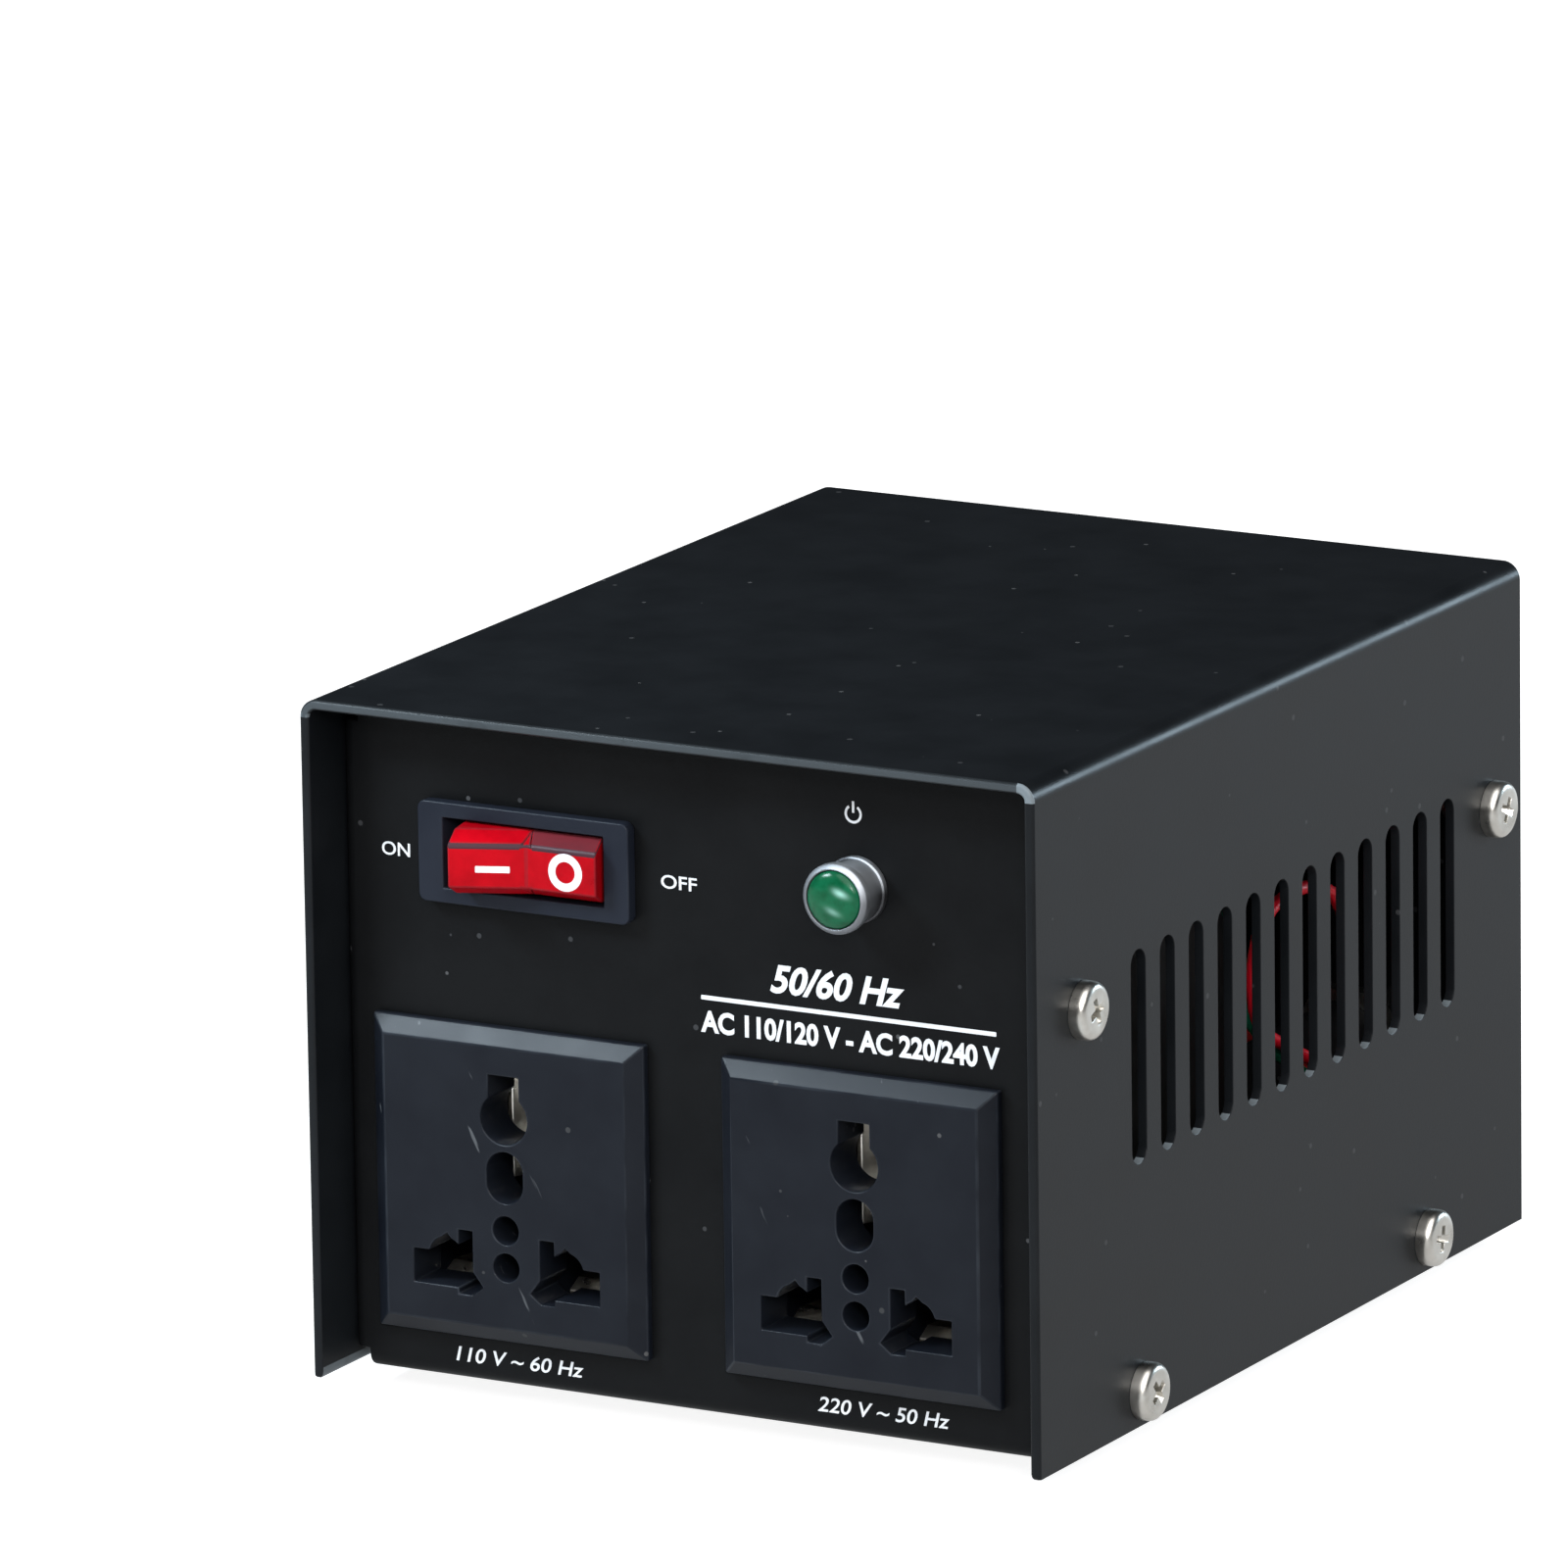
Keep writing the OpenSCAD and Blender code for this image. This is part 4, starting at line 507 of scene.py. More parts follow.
# %% [markdown]
# ## Rounded edges
# A real edge is never sharp. It catches a thin line of light, and that line is what makes bent
# sheet and moulded plastic look real. A copy of a solid is merged into flat faces again, its
# sharp edges are bevelled, and it stands for the solid. The solid itself is left alone. The
# bevel's faces get a second material for a moment, which tells them apart from the flat ones,
# and then the mark of an edge: rubbed wear on most finishes, a painted highlight on the outlets
# and painted shade on the rocker. Weighted normals keep the flat faces flat in shade.

# %% A copy with rounded edges
# The bevel mark is wear on most finishes, a painted highlight on the outlets, painted shade on the
# rocker.
BEVEL_WEAR_AND_PAINTED_LIGHT = 0.25
MERGE_MM = 0.002
FLAT_DEGREES = 0.4


def clean_copy(node):
    """Copies a solid's mesh, merges its loose triangles and joins them into flat faces."""
    source = frame["nodes"][node]
    piece = bpy.data.objects.new(node + "_copy", source.data.copy())
    bpy.context.scene.collection.objects.link(piece)
    pick(piece)
    bpy.ops.object.mode_set(mode="EDIT")
    bpy.ops.mesh.select_all(action="SELECT")
    bpy.ops.mesh.remove_doubles(threshold=MERGE_MM * MM)
    bpy.ops.mesh.dissolve_limited(angle_limit=math.radians(FLAT_DEGREES))
    bpy.ops.object.mode_set(mode="OBJECT")
    return piece


def bevel_edges(piece, radius_mm, segments=2, degrees=30, shares=()):
    """Bevels the sharp edges, marks the bevel's faces, and keeps the flat faces flat in shade.

    Shares are pairs of a share of the radius and a test of an edge's middle in mm. Where they
    are given, only the sharp edges that pass a test are bevelled, each by its own share."""
    piece.data.materials.clear()
    for marker in ("flat", "bevelled"):
        known = bpy.data.materials.get(marker)
        piece.data.materials.append(known or bpy.data.materials.new(marker))
    for share, test in shares:
        select_where(piece, "edges", lambda edge: len(edge.link_faces) == 2
                     and edge.calc_face_angle(0) > math.radians(degrees)
                     and test((edge.verts[0].co + edge.verts[1].co) / 2 / MM))
        bpy.ops.transform.edge_bevelweight(value=share)
        bpy.ops.object.mode_set(mode="OBJECT")
    apply_modifier(piece, "BEVEL", width=radius_mm * MM, segments=segments, material=1,
                   limit_method="WEIGHT" if shares else "ANGLE",
                   angle_limit=math.radians(degrees), use_clamp_overlap=False)
    edge = piece.data.attributes.new("edge", "FLOAT", "FACE")
    for face in piece.data.polygons:
        edge.data[face.index].value = BEVEL_WEAR_AND_PAINTED_LIGHT * face.material_index
        face.material_index = 0
    smooth(piece)
    apply_modifier(piece, "WEIGHTED_NORMAL", keep_sharp=True, weight=100)


def rounded(node, name, radius_mm, segments=2, degrees=30, shares=()):
    """A rounded copy of a solid that stands for it."""
    piece = clean_copy(node)
    bevel_edges(piece, radius_mm, segments, degrees, shares)
    return finish_piece(piece, name, BODY_OF[node], SLOT_OF[node], node)


print("wear of a bevel:", BEVEL_WEAR_AND_PAINTED_LIGHT)

# %% [markdown]
# ## Wear and painted light in chosen places
# An edge isn't rubbed alike all round, and light doesn't fall alike on it. One helper gives the
# faces in a chosen place their own mark, found by their middle and their normal: rubbed wear in
# some places, and a painted highlight or painted shade in others. The other writes it at the
# mesh's corners instead, so that it fades softly, which suits the painted highlights on a round
# piece.

# %% Helpers for chosen wear


def mark_wear_and_painted_light(piece, value, test):
    """Sets the mark, wear or painted light, of the faces that pass a test by middle and normal, in
    mm.
    """
    edge = piece.data.attributes["edge"]
    chosen = [f.index for f in piece.data.polygons if test(f.center / MM, f.normal)]
    for index in chosen:
        edge.data[index].value = value
    return len(chosen)


def soft_painted_highlight(piece, value_at):
    """Sets a painted highlight at each corner of the mesh instead, so that it fades from one to the
    next.
    """
    old = piece.data.attributes.get("edge")
    if old:
        piece.data.attributes.remove(old)
    marks = piece.data.attributes.new("edge", "FLOAT", "POINT")
    for vert in piece.data.vertices:
        marks.data[vert.index].value = value_at(vert.co / MM)


print("wear helpers ready")

# %% [markdown]
# ## The cover
# The cover is one bent sheet with slots in both walls. Its front rim is one large U-shaped face,
# and a face has only one mark, so two straight cuts divide it first, below the bend on top and
# beside the right wall. The edges of the slots were punched and coated, so they are rounded much
# less than the rim. The rim is pale along the top, partly where the coat is rubbed thin and partly
# as a painted highlight where the edge catches the light. The right corner and the up-facing lower
# ends of the slots get a stronger painted highlight.

# %% The cover's rounds and wear
FRONT_Y, WALL_X, TOP_Z, CORNER = -72.0, 56.0, 99.0, 2.5
SLOT_LOW_Z, SLOT_HIGH_Z, SLOTS_Y = 40.5, 70.1, 52.0
SLOT_MARGIN, SLOT_END = 1.0, 1.2
RIM_DEPTH, RIM_TOP, RIM_SIDES = 0.7, 2.0, 3.0
RIM_ROUND, SLOT_SHARE = 0.45, 0.24
RIM_ROUND_WEAR_AND_HIGHLIGHT, RIM_FACE_WEAR_AND_HIGHLIGHT, CORNER_HIGHLIGHT, SLOT_END_HIGHLIGHT = 0.03, 0.13, 0.5, 0.42


def on_slot(place):
    """True at the edges of the slots in both walls."""
    low, high = SLOT_LOW_Z - SLOT_MARGIN, SLOT_HIGH_Z + SLOT_MARGIN
    return abs(place.y) < SLOTS_Y and low < place.z < high


def on_rim(place):
    """True on the front rim of the cover."""
    return place.y < FRONT_Y + RIM_DEPTH


cover_sheet = clean_copy("cover")
for place, normal in (((0, 0, TOP_Z - CORNER), (0, 0, 1)), ((WALL_X - CORNER, 0, 0), (1, 0, 0))):
    select_where(cover_sheet, "faces", lambda face: True)
    bpy.ops.mesh.bisect(plane_co=Vector(place) * MM, plane_no=normal)
    bpy.ops.object.mode_set(mode="OBJECT")
bevel_edges(cover_sheet, RIM_ROUND, 4, shares=(
    (1.0, lambda p: not on_slot(p)),
    (SLOT_SHARE, on_slot)))
finish_piece(cover_sheet, "cover_sheet", "case", SLOT_OF["cover"], "cover")
# Painted highlight mixed with rubbed coat along the top of the rim.
print("rounds of the rim:", mark_wear_and_painted_light(
    cover_sheet, RIM_ROUND_WEAR_AND_HIGHLIGHT, lambda c, n: on_rim(c) and c.z > TOP_Z - RIM_TOP))
print("face of the rim:", mark_wear_and_painted_light(
    cover_sheet, RIM_FACE_WEAR_AND_HIGHLIGHT, lambda c, n: on_rim(c) and c.z > TOP_Z - RIM_TOP and n.y < -0.98))
# Painted highlight on the right corner.
print("right corner:", mark_wear_and_painted_light(
    cover_sheet, CORNER_HIGHLIGHT,
    lambda c, n: on_rim(c) and c.x > WALL_X - CORNER and c.z > TOP_Z - CORNER))
print("sides of the rim:", mark_wear_and_painted_light(
    cover_sheet, 0.0, lambda c, n: on_rim(c) and c.z < TOP_Z - RIM_SIDES))
print("edges of the slots:", mark_wear_and_painted_light(cover_sheet, 0.0, lambda c, n: on_slot(c)))
# Painted highlight on the up-facing lower ends of the slots.
print("lower ends of the slots:", mark_wear_and_painted_light(
    cover_sheet, SLOT_END_HIGHLIGHT,
    lambda c, n: on_slot(c) and c.z < SLOT_LOW_Z + SLOT_END and n.z > 0.75))

# %% [markdown]
# ## Chassis and outlets
# The chassis is bent from the same sheet. Each outlet is three mouldings with sprung contacts
# behind its apertures. Plugs rub the contacts bright on the edges that face the front, so those
# faces get full wear.

# %% The chassis and both outlets
rounded("chassis", "chassis_sheet", 0.25)
for side in ("left", "right"):
    rounded("outlet_%s_face" % side, "outlet_%s_plate" % side, 0.22)
    rounded("outlet_%s_body" % side, "outlet_%s_moulding" % side, 0.2)
    rounded("outlet_%s_cap" % side, "outlet_%s_back" % side, 0.2)
    leaves = rounded("outlet_%s_contacts" % side, "outlet_%s_leaves" % side, 0.2)
    print("rubbed faces:", mark_wear_and_painted_light(leaves, 1.0, lambda c, n: -0.98 < n.y < -0.2))

# %% [markdown]
# ## The other rounded pieces
# The rest need nothing but their rounds: each has its solid, its name and its radius in
# millimetres. Sheet and moulded pieces get small rounds, and the taped windings get large ones.

# %% Round the other pieces
for node, name, radius in (
        ("switch_housing", "switch_moulding", 0.25),
        ("lamp_bezel", "lamp_ring", 0.15), ("inlet_body", "inlet_moulding", 0.3),
        ("inlet_pins", "inlet_blades", 0.3), ("selector_body", "selector_moulding", 0.15),
        ("selector_slider", "slider_knob", 0.15), ("fuse_holder", "fuse_tube", 0.25),
        ("fuse_cap", "fuse_knob", 0.25), ("rubber_feet", "feet", 0.4),
        ("core_strap", "strap", 0.2), ("bobbin", "coil_former", 0.15),
        ("primary_winding", "lower_winding", 0.6), ("secondary_winding", "upper_winding", 0.6),
        ("tag_strip", "tag_board_strip", 0.1)):
    rounded(node, name, radius)
meshes = [item for item in bpy.data.objects if item.type == "MESH"]
print("rounded pieces:", len(meshes) - len(frame["nodes"]))

# %% [markdown]
# ## The rocker
# The rocker's two faces meet in a valley, and a sloped flank runs above them. The ridge between a
# face and the flank is a soft round with a dark line of painted shade along it, and the right half
# of the flank is painted darker, as painted shade from the bezel. The ridge gets the full round
# only away from the valley and the ends, because a wide bevel cuts a notch where three edges meet.

# %% The rocker's ridge
RIDGE_Z, RIDGE_BAND, RIDGE_Y = 81.3, 0.75, -65
VALLEY_X, RIDGE_START, RIDGE_END = -23.4, 2, 8
ROCKER_ROUND, ROCKER_SHARE = 0.62, 0.45
RIDGE_PAINTED_SHADE, FLANK_PAINTED_SHADE = 0.95, 0.75


def on_ridge(place):
    """True on the upper ridge, where the rocker's faces meet its sloped flank."""
    return place.y < RIDGE_Y and abs(place.z - RIDGE_Z) < RIDGE_BAND


def in_full_round(place):
    """True on the stretches of the ridge that get the full round."""
    return on_ridge(place) and RIDGE_START < abs(place.x - VALLEY_X) < RIDGE_END


rocker = rounded("switch_rocker", "rocker", ROCKER_ROUND, 4, degrees=15, shares=(
    (ROCKER_SHARE, lambda p: not in_full_round(p)),
    (1.0, in_full_round)))
# Painted shade along the upper ridge.
print("upper ridge:", mark_wear_and_painted_light(
    rocker, RIDGE_PAINTED_SHADE, lambda c, n: on_ridge(c) and 0.1 < n.z < 0.8))
# Painted shade on the right half of the flank.
print("right half of the flank:", mark_wear_and_painted_light(
    rocker, FLANK_PAINTED_SHADE, lambda c, n: c.x > VALLEY_X and c.z > RIDGE_Z and n.z > 0.8))

# %% [markdown]
# ## Case screws
# Eight bright pan-head screws hold the cover. A head starts as a disc whose upper rim is bevelled
# into a low crown. The cross recess narrows as it goes down, so it is cut with two wedges, whose
# tops stand a little above the head. One screw is modelled and copied to each place.

# %% One case screw
HEAD_D, HEAD_H, SHANK_D, SHANK_L = 8.0, 2.4, 4.0, 7.0
CROWN, CROWN_STEPS, CROWN_SHAPE = 1.25, 7, 0.56
ARM_L, ARM_W, RECESS_DEPTH = 4.6, 1.15, 1.5
ARM_TAPER = (0.45, 0.7, 1)
SCREW_ROUND = 0.08


def wedge_cross(length, width, depth, top):
    """Two wedges set crosswise, which narrow downwards: the shape of a cross recess.

    They reach the depth below the top, and stand half of it above."""
    arms = []
    for turn in (0, math.pi / 2):
        bpy.ops.object.select_all(action="DESELECT")
        bpy.ops.mesh.primitive_cube_add(size=1, location=(0, 0, top - depth / 4),
                                        scale=(length, width, depth * 1.5))
        arm = bpy.context.object
        settle(arm)
        select_where(arm, "faces", lambda face: face.normal.z < -0.9)
        bpy.ops.transform.resize(value=ARM_TAPER)
        bpy.ops.object.mode_set(mode="OBJECT")
        arm.rotation_euler = (0, 0, turn)
        settle(arm)
        arms.append(arm)
    apply_modifier(arms[0], "BOOLEAN", operation="UNION", object=arms[1], solver="EXACT")
    bpy.data.objects.remove(arms[1])
    return arms[0]


def make_case_screw():
    """A pan-head screw along Z, in metres, with its seat at zero."""
    bpy.ops.object.select_all(action="DESELECT")
    bpy.ops.mesh.primitive_cylinder_add(
        vertices=48, radius=HEAD_D / 2 * MM, depth=HEAD_H * MM, location=(0, 0, HEAD_H / 2 * MM))
    screw = bpy.context.object
    settle(screw)
    select_where(screw, "edges", lambda edge: all(v.co.z > HEAD_H / 2 * MM for v in edge.verts))
    bpy.ops.mesh.bevel(offset=CROWN * MM, offset_pct=0, segments=CROWN_STEPS, profile=CROWN_SHAPE)
    bpy.ops.object.mode_set(mode="OBJECT")
    select_where(screw, "faces", lambda face: face.normal.z < -0.9)
    bpy.ops.mesh.inset(thickness=(HEAD_D - SHANK_D) / 2 * MM)
    bpy.ops.mesh.extrude_region_move(TRANSFORM_OT_translate={"value": (0, 0, -SHANK_L * MM)})
    bpy.ops.object.mode_set(mode="OBJECT")
    cutter = wedge_cross(ARM_L * MM, ARM_W * MM, RECESS_DEPTH * MM, HEAD_H * MM)
    apply_modifier(screw, "BOOLEAN", operation="DIFFERENCE", object=cutter, solver="EXACT")
    bpy.data.objects.remove(cutter)
    bevel_edges(screw, SCREW_ROUND, segments=2, degrees=40)
    return screw


case_screw = make_case_screw()
print("screw faces:", len(case_screw.data.polygons))

# %% [markdown]
# ## Set the screws
# Each wall has two screws near the floor and one higher up near each end, and a place is given
# along the wall and above the floor. Each copy gets its own turn, because no one lines up the
# crosses of real screws.

# %% Copy the case screw to both walls
SCREW_PLACES = ((-59.0, 65.6), (63.0, 65.6), (-42.5, 8.9), (42.5, 8.9))
SCREW_TURNS = (20, 65, 38, 80)


def join_copies(model, places, name, body, slot, *nodes):
    """Copies a model to each place and joins the copies to one piece."""
    copies = []
    for matrix in places:
        copy = model.copy()
        copy.data = model.data.copy()
        copy.data.transform(matrix)
        bpy.context.scene.collection.objects.link(copy)
        copies.append(copy)
    bpy.ops.object.select_all(action="DESELECT")
    for copy in copies:
        copy.select_set(True)
    bpy.context.view_layer.objects.active = copies[0]
    bpy.ops.object.join()
    return finish_piece(copies[0], name, body, slot, *nodes)


for side, name in ((1, "right"), (-1, "left")):
    out_of_wall = Matrix.Rotation(side * math.pi / 2, 4, "Y")
    places = [
        Matrix.Translation((side * WALL_X * MM, y * MM, z * MM)) @ out_of_wall
        @ Matrix.Rotation(math.radians(turn), 4, "Z")
        for (y, z), turn in zip(SCREW_PLACES, SCREW_TURNS)]
    join_copies(case_screw, places, "case_screws_" + name, "case", "screw_steel",
                "cover_screws_" + name)
bpy.data.objects.remove(case_screw)
print("case screws set")

# %% [markdown]
# ## Flat printed parts
# The marks on the rocker and the signs on the panel are white bars and rings. Real print is a film
# of ink, and a picture of it would blur up close, so each part is a mesh: a flat plane or circle,
# stood up to face the front, and given a thickness of a few hundredths of a millimetre.

# %% Ink, bars and rings
finish("print_ink", dark=(0.5, 0.51, 0.53), light=(0.66, 0.67, 0.69), roughness=0.5, bump_um=4,
       scale=3000.0, patch=300.0)
MARK_T = 0.05
CORNER_SHARE = 0.12


def thin_sheet(piece, thickness_mm):
    """Stands a flat piece up, so that it faces the front, and gives it the thickness of ink."""
    piece.rotation_euler = (math.pi / 2, 0, 0)
    settle(piece)
    apply_modifier(piece, "SOLIDIFY", thickness=thickness_mm * MM, offset=0)
    return piece


def flat_bar(width, height, x=0.0, z=0.0, thickness=MARK_T):
    """A flat rectangle in X and Z, in millimetres, with its corners slightly round."""
    bpy.ops.object.select_all(action="DESELECT")
    bpy.ops.mesh.primitive_plane_add(size=MM, location=(x * MM, z * MM, 0))
    bar = bpy.context.object
    bar.scale = (width, height, 1)
    settle(bar)
    select_where(bar, "verts", lambda vert: True)
    bpy.ops.mesh.bevel(offset=min(width, height) * CORNER_SHARE * MM, affect="VERTICES", segments=2)
    bpy.ops.object.mode_set(mode="OBJECT")
    return thin_sheet(bar, thickness)


def flat_ring(outer, stroke, x=0.0, z=0.0, keep=None, thickness=MARK_T):
    """A flat ring in X and Z, or the part of it whose faces pass the test."""
    bpy.ops.object.select_all(action="DESELECT")
    bpy.ops.mesh.primitive_circle_add(vertices=64, radius=outer * MM, fill_type="NGON")
    ring = bpy.context.object
    select_where(ring, "faces", lambda face: True)
    bpy.ops.mesh.inset(thickness=stroke * MM)
    bpy.ops.mesh.delete(type="FACE")
    bpy.ops.object.mode_set(mode="OBJECT")
    if keep:
        select_where(ring, "faces", lambda face: not keep(face.calc_center_median()))
        bpy.ops.mesh.delete(type="FACE")
        bpy.ops.object.mode_set(mode="OBJECT")
    ring.location = (x * MM, z * MM, 0)
    settle(ring)
    return thin_sheet(ring, thickness)


print("ink ready")

# %% [markdown]
# ## Marks on the rocker
# The rocker carries a bar and a ring on its two faces, and both ride with it. Each face has a
# frame of its own, which starts in the valley, so a mark's place is simply a distance along the
# face and a height. The rocker is modelled at rest, pressed on the side of the bar.

# %% The bar and the ring
PIVOT = Vector((-25.1, -59.165, 78.3))
ROCKER_TURN = math.radians(11)
VALLEY_REACH = 9
BAR_W, BAR_H, BAR_X, BAR_Z = 4.7, 0.9, -4.6, -0.4
RING_R, RING_STROKE, RING_X, RING_Z = 2.6, 1.1, 6.0, -0.1


def rocker_face(half):
    """The frame of the left (-1) or right (1) face: X along it, Z up, and Y into the plastic."""
    lean = ROCKER_TURN * (1 - half)
    valley = Matrix.Rotation(ROCKER_TURN, 4, "Z") @ Vector((0, -VALLEY_REACH, 0))
    return Matrix.Translation((PIVOT + valley) * MM) @ Matrix.Rotation(lean, 4, "Z")


bar = flat_bar(BAR_W, BAR_H, BAR_X, BAR_Z)
bar.data.transform(rocker_face(-1))
ring = flat_ring(RING_R, RING_STROKE, RING_X, RING_Z)
ring.data.transform(rocker_face(1))
for piece, name in ((bar, "rocker_bar_mark"), (ring, "rocker_ring_mark")):
    finish_piece(piece, name, "rocker", "print_ink")
print("marks:", bar.name, ring.name)

# %% [markdown]
# ## The lamp's lens
# The lens is a green dome over the bulb. It starts as a ball, is flattened, cut at its widest
# place, and drawn back into the ring as a short collar. The cut merges only what is closer than a
# thousandth of a millimetre, because the mesh is fine.

# %% The lens
LAMP = Vector((25.1, -64.0, 79.8))
LENS_R, LENS_RIM, LENS_DOME, LENS_BACK = 3.95, 6.45, 1.3, 5.3
CUT_MERGE = 0.001
bpy.ops.object.select_all(action="DESELECT")
bpy.ops.mesh.primitive_uv_sphere_add(segments=96, ring_count=48, radius=LENS_R * MM)
lens = bpy.context.object
lens.rotation_euler = (math.pi / 2, 0, 0)
lens.scale = (1, 1, LENS_DOME / LENS_R)
settle(lens)
bpy.ops.object.mode_set(mode="EDIT")
bpy.ops.mesh.select_all(action="SELECT")
bpy.ops.mesh.bisect(plane_co=(0, 0, 0), plane_no=(0, 1, 0), clear_outer=True, use_fill=True,
                    threshold=CUT_MERGE * MM)
bpy.ops.mesh.extrude_region_move(
    TRANSFORM_OT_translate={"value": (0, (LENS_RIM - LENS_BACK) * MM, 0)})
bpy.ops.mesh.select_all(action="SELECT")
bpy.ops.mesh.normals_make_consistent(inside=False)
bpy.ops.object.mode_set(mode="OBJECT")
lens.data.transform(Matrix.Translation((LAMP - Vector((0, LENS_RIM, 0))) * MM))
smooth(lens, 50)
finish_piece(lens, "lamp_dome", "case", "lens_plastic", "lamp_lens")
print("lens faces:", len(lens.data.polygons))

# %% [markdown]
# ## Painted light in the lens and on its ring
# The inner facets of the real lens throw back two pale strokes, and its ring is bright on its
# upper right side. A clear lens over facets needs many light paths before it shows them, so both
# are painted highlights instead: numbers on the mesh, which the materials turn pale through their
# edge colour. A stroke is its place from the middle of the lens and its strength, and it fades to
# all sides.

# %% The pale strokes in the lens and the bright side of the ring
STROKES = ((1.5, 1.2, 0.8), (0.4, -1.4, 0.4))
STROKE_LONG, STROKE_WIDE, STROKE_SLOPE = 1.0, 0.42, Vector((0.93, 0, -0.37))
RIM_Y, RIM_SHINE, SIDE_SHINE = -68.2, 0.35, 0.9
SHINE_SIDE, SHINE_START, SHINE_FADE = Vector((0.62, 0, 0.78)), 0.6, 0.35


def stroke_at(place):
    """The painted highlight of the lens: highest on the middle line of each stroke."""
    value = 0.0
    for x, z, share in STROKES:
        way = place - LAMP - Vector((x, 0, z))
        way.y = 0
        along = way.dot(STROKE_SLOPE) / STROKE_LONG
        across = way.cross(STROKE_SLOPE).y / STROKE_WIDE
        value += share * math.exp(-along ** 2 - across ** 2)
    return value


def shine_at(place):
    """The painted highlight of the ring: fair on the front rim, and high on its upper right side.
    """
    way = place - LAMP
    way.y = 0
    side = (way.normalized().dot(SHINE_SIDE) - SHINE_START) / SHINE_FADE
    front = RIM_SHINE if place.y < RIM_Y else 0.0
    return front + (SIDE_SHINE - front) * max(0.0, min(1.0, side))


# Painted highlights: two strokes in the lens and the bright side of the ring.
soft_painted_highlight(lens, stroke_at)
soft_painted_highlight(bpy.data.objects["lamp_ring"], shine_at)
print("strokes:", len(STROKES))

# %% [markdown]
# ## Printed words
# The panel is printed in white: ON and OFF beside the switch, and the plain ratings over and under
# the outlets. Text becomes a mesh, is fitted to its place, and lies on the coat with the
# thickness of ink. Each line of the list holds the words, their name, where they start and end
# across the panel, the height of their foot, their own height, their slant and their boldness.

# %% Words on the panel
PANEL_Y, BASE_Z = -64.0, 4.0
INK_T = 0.04
WORDS = (
    ("ON", "word_on", -48.2, -43.8, 72.5, 1.9, 0.0, 0.01),
    ("OFF", "word_off", -4.9, 0.6, 72.6, 1.9, 0.0, 0.01),
    ("50/60 Hz", "frequency_line", 11.6, 32.0, 60.0, 4.1, 0.28, 0.03),
    ("AC 110/120 V - AC 220/240 V", "voltage_line", 0.9, 46.3, 53.35, 3.1, 0.0, 0.035),
    ("110 V ~ 60 Hz", "rating_left", -38.1, -18.2, 2.65, 2.1, 0.2, 0.01),
    ("220 V ~ 50 Hz", "rating_right", 18.0, 38.1, 2.75, 2.1, 0.2, 0.01))


def print_words(words, name, left, right, low, cap, slant, bold):
    """Prints words between two places across the panel, with a given height."""
    curve = bpy.data.curves.new(name, "FONT")
    curve.body = words
    curve.extrude = INK_T / 2
    curve.offset = bold
    curve.shear = slant
    curve.resolution_u = 4
    text = bpy.data.objects.new(name, curve)
    bpy.context.scene.collection.objects.link(text)
    pick(text)
    bpy.ops.object.convert(target="MESH")
    text = bpy.context.object
    xs = [v.co.x for v in text.data.vertices]
    ys = [v.co.y for v in text.data.vertices]
    wide = (right - left) / (max(xs) - min(xs))
    high = cap / (max(ys) - min(ys))
    text.data.transform(
        Matrix.Translation((left * MM, (PANEL_Y - INK_T / 2) * MM, (BASE_Z + low) * MM))
        @ Matrix.Rotation(math.pi / 2, 4, "X") @ Matrix.Diagonal((wide * MM, high * MM, MM, 1))
        @ Matrix.Translation((-min(xs), -min(ys), 0)))
    return finish_piece(text, name, "case", "print_ink")


for line in WORDS:
    print_words(*line)
print("lines of words:", len(WORDS))

# %% [markdown]
# ## Printed signs
# A sign for power stands over the lamp: a ring with a gap on top and a short bar in the gap. A
# thin rule runs between the two lines of ratings. Both are made of the same flat parts as the
# marks on the rocker.

# %% Signs on the panel
SIGN_R, SIGN_STROKE, SIGN_BAR_L, SIGN_BAR_Z = 1.3, 0.34, 1.6, 0.95
SIGN_X, SIGN_Z, GAP_ANGLE = 24.6, 86.0, math.radians(35)
RULE_L, RULE_H, RULE_X, RULE_Z = 44.8, 0.6, 23.4, 58.2


def sign(parts, name, x, z):
    """Joins flat parts to one printed sign at a place on the panel."""
    bpy.ops.object.select_all(action="DESELECT")
    for part in parts:
        part.select_set(True)
    bpy.context.view_layer.objects.active = parts[0]
    if len(parts) > 1:
        bpy.ops.object.join()
    parts[0].data.transform(
        Matrix.Translation((x * MM, (PANEL_Y - INK_T / 2) * MM, (BASE_Z + z) * MM)))
    return finish_piece(parts[0], name, "case", "print_ink")


power_ring = flat_ring(SIGN_R, SIGN_STROKE, thickness=INK_T,
                       keep=lambda c: abs(math.atan2(c.x, c.y)) > GAP_ANGLE)
power_bar = flat_bar(SIGN_STROKE, SIGN_BAR_L, 0, SIGN_BAR_Z, INK_T)
sign([power_ring, power_bar], "power_sign", SIGN_X, SIGN_Z)
sign([flat_bar(RULE_L, RULE_H, thickness=INK_T)], "rule_line", RULE_X, RULE_Z)
print("signs printed")

# %% [markdown]
# ## Round wires
# The measured wires have eight sides. A copy of each is merged and subdivided, with its two ends
# creased so that they keep their place, and becomes a round insulated lead. Only the ends turn by
# more than 70 degrees.

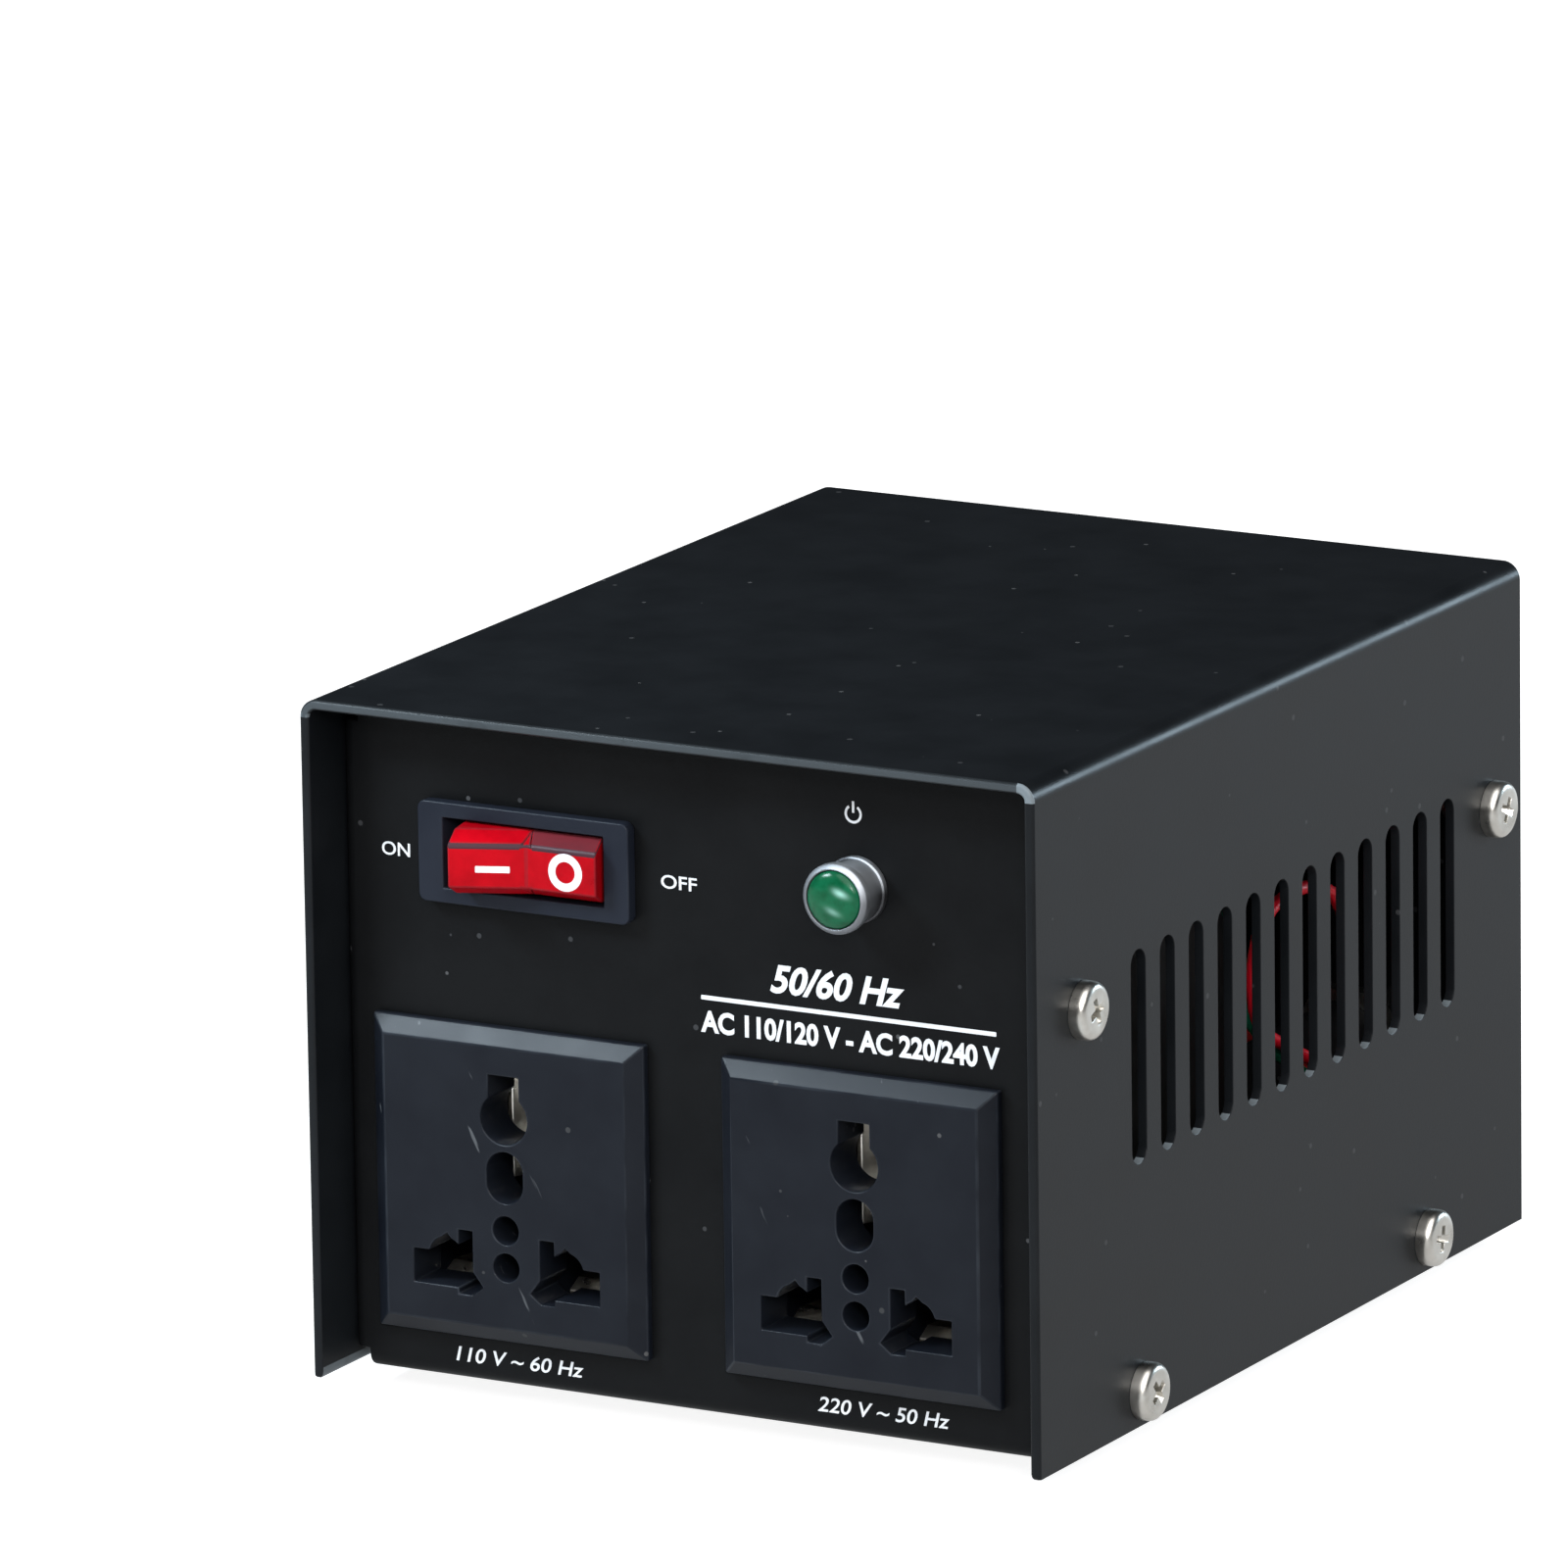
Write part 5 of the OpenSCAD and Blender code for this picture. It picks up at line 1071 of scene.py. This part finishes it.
# %% Smooth the wires
WIRES = ("wire_red", "wires_green", "wires_blue", "wires_brown", "wire_black", "wire_white",
         "wires_yellow", "lamp_leads", "coil_leads")
END_ANGLE = math.radians(70)
for node in WIRES:
    wire = clean_copy(node)
    select_where(wire, "edges", lambda edge: len(edge.link_faces) == 2
                 and edge.calc_face_angle(0) > END_ANGLE)
    bpy.ops.transform.edge_crease(value=1)
    bpy.ops.object.mode_set(mode="OBJECT")
    apply_modifier(wire, "SUBSURF", levels=1, render_levels=1)
    smooth(wire, 60)
    finish_piece(wire, node.replace("wire", "lead_wire"), BODY_OF[node], SLOT_OF[node], node)
print("wires:", len(WIRES))

# %% [markdown]
# ## The floor
# The object stands on a light table, a white sheet lit from below, which keeps the shadow faint.
# Its glow is full for the camera and weaker for the object, so it hides the shadow without
# lighting the undersides.

# %% The floor
GLOW_CAST, GLOW_SEEN = 0.38, 0.9
bpy.ops.object.select_all(action="DESELECT")
bpy.ops.mesh.primitive_plane_add(size=24, location=(0, 0, 0))
floor = bpy.context.object
floor.name = "studio_floor"
floor_material = bpy.data.materials.new("pale_floor")
floor_material.use_nodes = True
paper = floor_material.node_tree.nodes["Principled BSDF"]
paper.inputs["Base Color"].default_value = (0.4, 0.4, 0.4, 1)
paper.inputs["Roughness"].default_value = 0.9
paper.inputs["Specular IOR Level"].default_value = 0.1
paper.inputs["Emission Color"].default_value = (1, 1, 1, 1)
rays = add(floor_material.node_tree, "LightPath")
glow = add(floor_material.node_tree, "MapRange", To_Min=GLOW_CAST, To_Max=GLOW_SEEN)
link(floor_material.node_tree, (rays, "Is Camera Ray"), (glow, "Value"))
link(floor_material.node_tree, (glow, 0), (paper, "Emission Strength"))
floor.data.materials.append(floor_material)
print("floor size in m:", tuple(round(value, 1) for value in floor.dimensions[:2]))

# %% [markdown]
# ## The lights
# One very wide, soft key light comes from the front right. A small soft box near the left shows
# on the upper bevels of the outlets. One stands low and far behind, where the bend of the cover
# mirrors it as a pale line. A weak one beside the camera reaches into the slots and apertures.
# The boxes are hidden from the camera, so no other view shows them. The sky stays dim, because
# the cover's top mirrors it at a low angle. The standard view keeps whites white and the red pure.

# %% The lights
KEY_PLACE, KEY_STRENGTH, KEY_WIDTH = (1.0, -1.25, 1.9), 4.0, math.radians(75)
SKY_COLOUR, SKY_STRENGTH = (0.8, 0.9, 1.0, 1), 0.04


def aim(light, place, target):
    """Puts a light at a place and turns it to a target."""
    light.location = place
    light.rotation_euler = (Vector(target) - Vector(place)).to_track_quat("-Z", "Y").to_euler()
    bpy.context.scene.collection.objects.link(light)


def soft_box(name, place, target, size, watts, colour=(1, 1, 1)):
    """A rectangular soft box, which the camera doesn't see."""
    lamp = bpy.data.lights.new(name, "AREA")
    lamp.shape = "RECTANGLE"
    lamp.size, lamp.size_y = size
    lamp.energy = watts
    lamp.color = colour
    box = bpy.data.objects.new(name, lamp)
    box.visible_camera = False
    aim(box, place, target)


key = bpy.data.lights.new("key", "SUN")
key.energy = KEY_STRENGTH
key.angle = KEY_WIDTH
aim(bpy.data.objects.new("key", key), KEY_PLACE, (0, 0, 0))
soft_box("left_box", place=(-0.208, -0.238, 0.295), target=(-0.025, -0.066, 0.05),
         size=(0.1, 0.085), watts=1.7, colour=(0.76, 0.9, 1.0))
soft_box("rear_box", place=(1.08, 1.77, 0.42), target=(0, 0, 0.08),
         size=(0.6, 0.42), watts=19, colour=(0.68, 0.86, 1.0))
soft_box("fill_box", place=(0.95, -1.55, 0.85), target=(0, 0, 0.05),
         size=(0.25, 0.25), watts=11)
sky = bpy.data.worlds.new("studio_sky")
bpy.context.scene.world = sky
sky.use_nodes = True
sky.node_tree.nodes["Background"].inputs["Color"].default_value = SKY_COLOUR
sky.node_tree.nodes["Background"].inputs["Strength"].default_value = SKY_STRENGTH
bpy.context.scene.view_settings.view_transform = "Standard"
print("lights:", len(bpy.data.lights))

# %% [markdown]
# ## The size
# The dressed object must keep the size of the measured one.

# %% The end
print("scene dressed")
